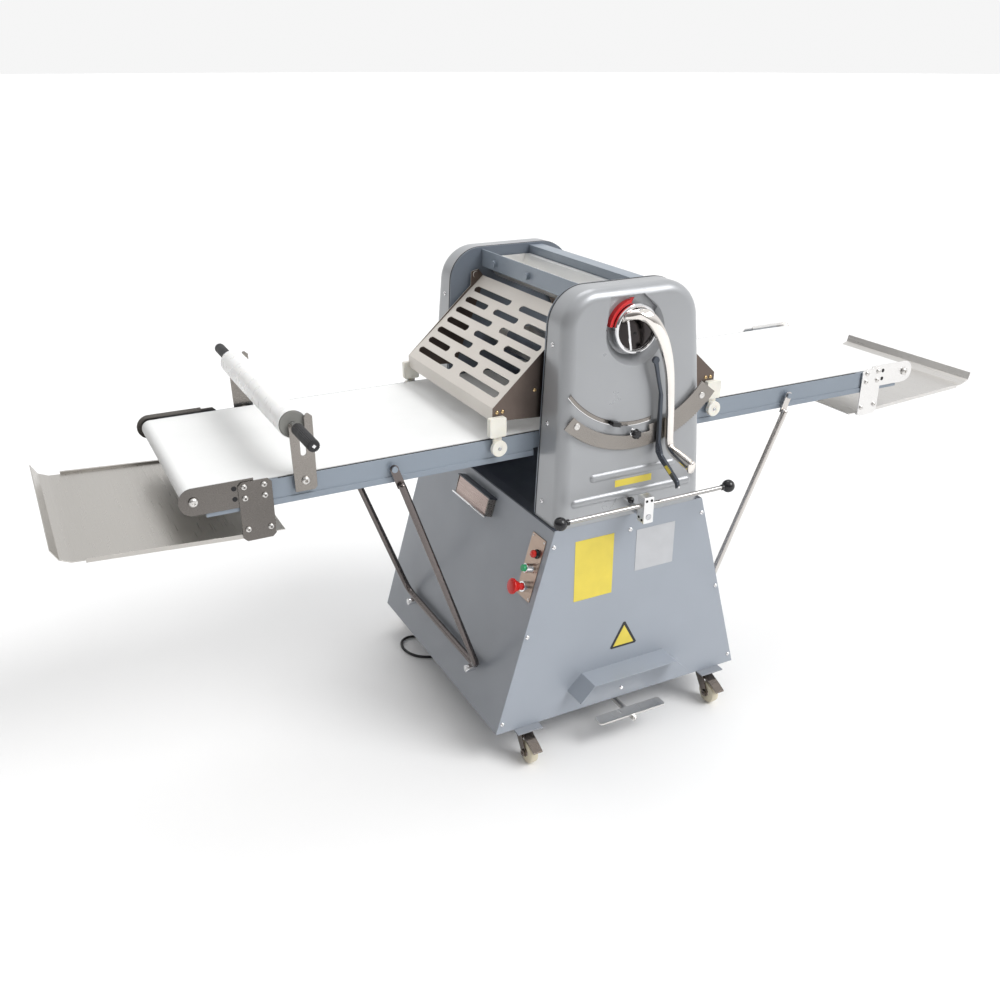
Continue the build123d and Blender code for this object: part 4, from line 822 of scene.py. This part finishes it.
def add_controls():
    plate = prism("legend_plate", "base", "stainless", round_rect(66, 166, 3), side_spot(-326, 529, 0.3),
                  Y * -1, UPHILL, 2, 0.5, MATERIALS["legend_steel"])
    spots = [(side_spot(-326 + dy, 529, 2.1, up), OUT) for dy in (-27, 27) for up in (-76, 76)]
    corner = heads("legend_screws", "base", "stainless", spots, 3.4, 1.6)
    lamp = turned("lamp_collar", "base", "stainless", side_spot(BUTTON_Y, LAMP_Z, 2.2), OUT,
                  [(0, 0), (12, 0), (12, 2.5), (10.5, 4), (9.6, 5), (9.6, 8), (0, 8)], 36,
                  MATERIALS["black_plastic"])
    lens = turned("lamp_lens", "base", "stainless", side_spot(BUTTON_Y, LAMP_Z, 7), OUT,
                  [(0, 0), (9.4, 0), (9.6, 6), (9, 9.5), (7.2, 11.4), (3.5, 12.2), (0, 12.4)], 36,
                  MATERIALS["red_lens"])
    rim = turned("start_bezel", "base", "stainless", side_spot(BUTTON_Y, START_Z, 2.2), OUT,
                 [(9.2, 8), (9.2, 23), (9.6, 24), (11, 24), (12, 23), (12, 8), (12.6, 6), (12.6, 1),
                  (12, 0), (9.2, 0)], 36, MATERIALS["chrome"])
    ring = turned("stop_bezel", "base", "stainless", side_spot(BUTTON_Y, STOP_Z, 2.2), OUT,
                  [(9.2, 4), (9.2, 17), (10, 18), (13, 18), (14, 17), (14, 2), (13.4, 0), (9.2, 0)], 36,
                  MATERIALS["chrome"])
    for item in (plate, corner, lamp, lens, rim, ring):
        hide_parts("control_plate")
    start = turned("start_cap", "start_button", "green_plastic", side_spot(BUTTON_Y, START_Z, 16), OUT,
                   [(0, 0), (8.6, 0), (8.8, 15), (8.4, 17.4), (7, 18.6), (0, 18.8)], 36)
    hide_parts("start_button")
    stop = turned("stop_head", "stop_button", "red_plastic", side_spot(BUTTON_Y, STOP_Z, 12), OUT,
                  [(0, 0), (8.9, 0), (9, 20), (12.6, 20.5), (13.4, 22), (14.2, 26), (16.5, 30), (19.4, 33),
                   (20.2, 35.5), (19.8, 38), (18, 39.6), (12, 41), (0, 41.4)], 44)
    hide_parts("stop_button")


POCKET_Z = 588


def add_pocket():
    """The pull on the left side: a bright face hung from a dark flange, rolled at its lower edge."""
    face = prism("pocket_face", "base", "stainless", round_rect(176, 50, 2), side_spot(6, POCKET_Z, 20, 2),
                 Y * -1, UPHILL, 2, 0.6, MATERIALS["copper_steel"])
    flange = prism("pocket_flange", "base", "stainless", round_rect(196, 4, 1.4),
                   side_spot(6, POCKET_Z, 0.4, 27), Y * -1, UPHILL, 23.6, 0.5, MATERIALS["dark_plate"])
    stations = [(-94, 5), (-93, 8), (-91, 9.5), (103, 9.5), (105, 8), (106, 5)]
    rings = []
    for y, size in stations:
        centre = side_spot(y, POCKET_Z, 25, -24)
        rings.append([centre + OUT * a + UPHILL * b for a, b in oval(size, size * 0.62, 2.2)])
    roll = lofted("pocket_roll", "base", "stainless", rings, MATERIALS["chrome"])
    for item in (face, flange, roll):
        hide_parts("tool_pocket")
    for y, side in ((-86, "front"), (98, "rear")):
        # The pocket's ends are in darkened steel: painted shade.
        end = prism("pocket_end_" + side, "base", "stainless", [(0, -25), (21, -25), (23, 26), (0, 26)],
                    side_spot(y - 1.2, POCKET_Z, 0.4), OUT, UPHILL, 2.4, 0.4, MATERIALS["dim_steel_painted_shade"])
        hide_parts("tool_pocket")


# ---- screws and studs ---------------------------------------------------------------
PANEL_SCREWS = [(-222, 600), (-292, 366), (-362, 126), (362, 126), (292, 366), (222, 600),
                (0, 600), (0, 126)]


# The tower's sides lean in: half width at the foot, how far they lean, the foot's height, their height.
TOWER_HALF, TOWER_LEAN, TOWER_FOOT_Z, TOWER_HEIGHT = 214, 30, 642, 564
TOWER_CORNER_R = 92
COVER_SCREW_Z = (1080, 890, 690)


def tower_half(z):
    return TOWER_HALF - TOWER_LEAN * (z - TOWER_FOOT_Z) / TOWER_HEIGHT


def add_screws():
    spots = [((x, sign * 380, z), (0, sign, 0)) for x, z in PANEL_SCREWS for sign in (-1, 1)]
    spots += [((side * (tower_half(z) + 0.2), sign * 300, z), (side, 0, 0))
              for z in COVER_SCREW_Z for side in (-1, 1) for sign in (-1, 1)]
    screws = heads("panel_screws", "base", "chrome", spots, 6.2, 3.4)
    studs = joined([turned_mesh((side * 366, sign * 200, 193.5), (side, 0, 0),
                                [(0, -14), (10, -14), (10, 12), (9, 14.5), (4, 15), (0, 14)], 28)
                    for side in (-1, 1) for sign in (-1, 1)])
    studs = add("strut_studs", *studs, "base", "chrome")
    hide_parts("screws")
    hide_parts("screws")


# ---- tables -------------------------------------------------------------------------
PLATE_BOLTS = [(877, 852), (877, 827), (920, 853), (920, 827), (920, 754), (871, 751)]


def add_table_bolts():
    """Domed bolts on the end plates, the end rollers' axle bolts and two plugged holes a side."""
    for side, sx in (("left", -1), ("right", 1)):
        body = side + "_table"
        spots = [((sx * x, sy * 264, z), (0, sy, 0)) for x, z in PLATE_BOLTS for sy in (-1, 1)]
        heads(side + "_plate_bolts", body, "stainless", spots, 7, 4.6)
        spots = [((sx * 1027, sy * 263, 838.5), (0, sy, 0)) for sy in (-1, 1)]
        heads(side + "_axle_bolts", body, "stainless", spots, 10.5, 5.5)
        plugs = joined([turned_mesh((sx * 941, sy * 261, z), (0, sy, 0),
                                    [(0, -0.3), (5.6, -0.3), (5.6, 0.5), (4.6, 0.9), (0, 0.5)], 24)
                        for z in (852, 828) for sy in (-1, 1)])
        add(side + "_plate_plugs", *plugs, body, "stainless", MATERIALS["shadow_gap"])


# The black strip of painted shadow in the gap beside each belt: its ends in X, its lower and upper edge,
# and its width.
GAP_X, GAP_Z, GAP_WIDE = (95, 845), (845, 857), 3.2


def add_belt_shadow_strips():
    """A black strip in the gap between each belt's edge and the rail: painted shadow."""
    bottom, top = GAP_Z
    for side, sign in (("left", -1), ("right", 1)):
        low, high = sorted(sign * x for x in GAP_X)
        outline = [(low, bottom), (low + 2, top), (high - 2, top), (high, bottom)]
        for edge, y in (("front", -251.2), ("rear", 254.4)):
            # Each strip is black plastic standing in for the shadow in the gap: painted shadow.
            prism(side + "_shadow_strip_" + edge, side + "_table", "black_plastic", outline, (0, y, 0), X, Z,
                  GAP_WIDE, 0.4)


def add_bracket_bolts():
    """The large bolts that hold the rolling pin's brackets to the left rails."""
    heads("bracket_bolts", "left_table", "stainless",
          [((-787, sy * 271, 846), (0, sy, 0)) for sy in (-1, 1)], 10, 6.4)


# ---- tower trim -----------------------------------------------------------------------
# The front cover's face: its depth at the tower's foot, its lean there and how it bows back above.
COVER_FOOT_Y, COVER_LEAN, COVER_BOW = -379.5, 0.015966, 0.00008329


def cover_y(z):
    """The front cover's face leans back; its depth at a height."""
    rise = z - TOWER_FOOT_Z
    return COVER_FOOT_Y + COVER_LEAN * rise + COVER_BOW * rise * rise


def tower_path(grow, steps=14):
    """The tower's outline in XZ, from its left foot over the top to its right foot."""
    lean = math.atan(TOWER_LEAN / TOWER_HEIGHT)
    radius = TOWER_CORNER_R + grow
    centre_z = TOWER_FOOT_Z + TOWER_HEIGHT - TOWER_CORNER_R
    centre_x = tower_half(centre_z) - TOWER_CORNER_R / math.cos(lean)
    half = [(tower_half(646) + grow, 646)]
    for i in range(steps + 1):
        turn = lean + (math.pi / 2 - lean) * i / steps
        half.append((centre_x + radius * math.cos(turn), centre_z + radius * math.sin(turn)))
    return [(-x, z) for x, z in half] + [(x, z) for x, z in reversed(half)]


def hoop(name, y0, y1, low, high, finish):
    """A thin strip that follows the tower's outline, from low to high above its skin."""
    inner, outer = tower_path(low), tower_path(high)
    rings = [[(a[0], y0, a[1]), (b[0], y0, b[1]), (b[0], y1, b[1]), (a[0], y1, a[1])]
             for a, b in zip(inner, outer)]
    return lofted(name, "base", "black_plastic", rings, MATERIALS[finish], 30)


def face_band(name, inner, outer, start, end, lift, finish, steps=60):
    """A ring sector lying on the cover's leaning face; angles from straight down."""
    rings = []
    for i in range(steps + 1):
        turn = math.radians(start + (end - start) * i / steps)
        ring = []
        for radius, rise in ((inner, 0.3), (inner, -lift), (outer, -lift), (outer, 0.3)):
            z = CRANK_Z - radius * math.cos(turn)
            ring.append((radius * math.sin(turn), cover_y(z) + rise, z))
        rings.append(ring)
    return lofted(name, "base", "cover_silver", rings, MATERIALS[finish], 30)


def ring_sector(name, inner, outer, start, end, y0, y1, finish, steps=30):
    """A flat ring sector about the crank's axis; angles from straight down towards +X."""
    rings = []
    for i in range(steps + 1):
        turn = start + (end - start) * i / steps
        rings.append([polar(radius, turn, y)
                      for radius, y in ((inner, y1), (inner, y0), (outer, y0), (outer, y1))])
    return lofted(name, "base", "cover_silver", rings, MATERIALS[finish], 30)


def add_tower_trim():
    for sign, side in ((-1, "front"), (1, "rear")):
        y0, y1 = sorted((sign * 270.1, sign * 272.6))
        hoop(side + "_seam", y0, y1, -2.0, 0.9, "black_rubber")
    # The slot's face is in darkened steel: painted shade.
    face_band("scale_slot", 222.5, 230.5, -53, 12, 0.5, "dim_steel_painted_shade")
    # The inner rim is in darkened steel: painted shade.
    face_band("scale_rim_in", 221.2, 222.6, -53.6, 12.6, 0.9, "painted_shade_steel")
    face_band("scale_rim_out", 230.4, 231.8, -53.6, 12.6, 0.9, "chrome")
    spot = polar(225, -16, 0)
    lean = math.radians(-16)
    prism("scale_slide", "base", "black_plastic", round_rect(24, 11, 2), (spot[0], -372, spot[2]),
          (math.cos(lean), 0, math.sin(lean)), (-math.sin(lean), 0, math.cos(lean)), 18, 0.8)
    prism("dish_arrow", "base", "cover_silver", [(-10, 1178), (-3, 1166), (4, 1178)],
          (0, -335.6, 0), X, Z, 0.9, material=MATERIALS["red_ink"])
    ring_sector("dish_arc", 61, 69, 190, 262, -349, -334.8, "red_ink")
    for radius, degrees, name in ((266, -39, "left"), (264, 46, "right")):
        spot = polar(radius, degrees, -380.8)
        heads("sector_bolt_" + name, "base", "stainless", [(spot, (0, -1, 0))], 8, 1.2)


# ---- casters ------------------------------------------------------------------------
CORNERS = [("front_left", -1, -1), ("front_right", 1, -1), ("rear_left", -1, 1), ("rear_right", 1, 1)]
WHEEL_X, WHEEL_Y, WHEEL_Z = 292, 397, 31
HUB_PROFILE = [(4.1, -13.4), (9.5, -13.4), (11.5, -11), (12, -10), (12, 10), (11.5, 11), (9.5, 13.4),
               (4.1, 13.4)]
NUT_PROFILE = [(0, 0), (9.6, 0), (9.6, 3.6), (8.4, 4.6), (4.2, 4.6), (4, 6.4), (3, 7), (0, 7)]


def add_casters():
    for name, sx, sy in CORNERS:
        x, y = sx * WHEEL_X, sy * WHEEL_Y
        tread = turned("tread_" + name, "wheel_" + name, "wheel_cream", (x, y, WHEEL_Z), X,
                       [(11, -11), (27, -11.6), (29.4, -10.4), (30.6, -7.5), (31, -3), (31, 3), (30.6, 7.5),
                        (29.4, 10.4), (27, 11.6), (11, 11)], 56)
        hub = turned("hub_" + name, "wheel_" + name, "wheel_cream", (x, y, WHEEL_Z), X, HUB_PROFILE, 32,
                     MATERIALS["zinc"])
        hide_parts("wheel_" + name)
        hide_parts("wheel_" + name)
        nuts = joined([turned_mesh((x + side * 17.1, y, WHEEL_Z), (side, 0, 0), NUT_PROFILE, 6)
                       for side in (-1, 1)])
        add("nuts_" + name, *nuts, "fork_" + name, "zinc", sharp=20)


# ---- rolling pin ----------------------------------------------------------------------
PIN = (-803.0, 975.0)


def add_pin():
    tube = turned("pin_sleeve", "pin_tube", "nylon", (PIN[0], -260, PIN[1]), Y,
                  [(30, 0), (31.6, 0.6), (32, 2), (32, 518), (31.6, 519.4), (30, 520)], 64,
                  MATERIALS["pin_white"])
    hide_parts("pin_tube")
    for sign, side in ((-1, "front"), (1, "rear")):
        cap = turned("pin_cap_" + side, "pin_tube", "nylon", (PIN[0], sign * 240, PIN[1]), (0, sign, 0),
                     [(0, 0), (29.9, 0), (29.9, 19), (28, 21.6), (15, 21.8), (12, 21), (6.5, 21), (6.5, 10),
                      (0, 10)], 56, MATERIALS["pin_end"])
        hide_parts("pin_tube")
    rod = turned("pin_axle", "pin_rod", "chrome", (PIN[0], -405, PIN[1]), Y,
                 [(0, 0), (5.4, 0), (6, 1), (6, 809), (5.4, 810), (0, 810)], 28)
    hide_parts("pin_rod")
    for sign, side in ((-1, "front"), (1, "rear")):
        barrel = knurl((PIN[0], sign * 293, PIN[1]), (0, sign, 0), 13.4, 117, 22, 0.9)
        grip = lofted("pin_grip_" + side, "pin_rod", "chrome", barrel, MATERIALS["black_rubber"], 30)
        nut = turned("pin_nut_" + side, "pin_rod", "chrome", (PIN[0], sign * 408, PIN[1]), (0, sign, 0),
                     [(0, 0), (5, 0), (5, 2.6), (4.4, 3.2), (0, 3.2)], 4, sharp=20)
        ferrule = turned("pin_ferrule_" + side, "pin_rod", "chrome", (PIN[0], sign * 288, PIN[1]),
                         (0, sign, 0), [(6, 0), (9, 0), (9.6, 1), (9.6, 5), (6, 5)], 28)
        for item in (grip, nut, ferrule):
            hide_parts("pin_rod")


# ---- guard feet -------------------------------------------------------------------------
FOOT_X, FOOT_Z, STEM_Z, ROLL_Z = 317, 888, 852, 838
ROLL_PROFILE = [(0, 0), (18.6, 0), (20, 1.4), (20, 10.2), (18.8, 11.6), (8, 11.8), (7, 11), (0, 11)]


def add_guard_feet():
    """Each guard's nylon feet with their rollers, and the screws on its cheeks."""
    for sx, side in ((-1, "left"), (1, "right")):
        body = side + "_guard"
        x = sx * FOOT_X
        for sy, end, block_y, stem_y in ((-1, "front", -256.2, -262), (1, "rear", 272, 268)):
            block = prism(side + "_foot_" + end, body, "nylon", round_rect(44, 48, 5), (x, block_y, FOOT_Z),
                          X, Z, 15.8, 1.2)
            stem = prism(side + "_stem_" + end, body, "nylon", round_rect(22, 60, 4), (x, stem_y, STEM_Z),
                         X, Z, 6, 0.8)
            wheel = turned(side + "_roll_" + end, body, "nylon", (x, sy * 268.2, ROLL_Z), (0, sy, 0),
                           ROLL_PROFILE, 48)
            bolt = heads(side + "_roll_bolt_" + end, body, "nylon",
                         [((x, sy * 279.2, ROLL_Z), (0, sy, 0))], 4.5, 2.4, MATERIALS["lever_steel"])
            for item in (block, stem, wheel, bolt):
                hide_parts(side + "_guard_feet")
        bolts = [((sx * x, sy * 256, 921), (0, sy, 0)) for x in (313, 298) for sy in (-1, 1)]
        bolts += [((sx * 212, sy * 256, 962), (0, sy, 0)) for sy in (-1, 1)]
        heads(side + "_cheek_bolts", body, "stainless", bolts, 5, 2.8, MATERIALS["brass"])


# ---- marks: blank plates only -------------------------------------------------------------
def face_plate(name, outline, y, finish, thick=0.5):
    """A thin plate on the front, with its back at a depth."""
    return prism(name, "base", "panel_paint", outline, (0, y, 0), X, Z, thick, material=MATERIALS[finish])


PANEL_MARK_Y = -380.1


def add_marks():
    """Blank plates where the machine carries labels."""
    face_plate("sheet_yellow", [(-161, 432), (-48, 432), (-48, 601), (-161, 601)], PANEL_MARK_Y,
               "yellow_tag")
    face_plate("sheet_grey", [(20, 477), (138, 477), (138, 594), (20, 594)], PANEL_MARK_Y, "grey_tag")
    face_plate("plate_triangle", [(-43, 262), (-39, 258), (35, 258), (39, 262), (1, 332), (-5, 332)],
               PANEL_MARK_Y, "black_tag")
    face_plate("plate_triangle_face", [(-34, 264), (30, 264), (-2, 322)], -380.5, "yellow_tag", thick=0.4)
    face_plate("strip_yellow", [(-52, 721), (55, 721), (55, 742), (-52, 742)], -376.2, "yellow_tag",
               thick=1.4)


add_camera()
add_cord()
dress_frame()
add_gland()
add_crank()
add_stop_knob()
add_lever()
add_controls()
add_pocket()
add_screws()
add_table_bolts()
add_belt_shadow_strips()
add_bracket_bolts()
add_tower_trim()
add_casters()
add_pin()
add_guard_feet()
add_marks()
add_room()
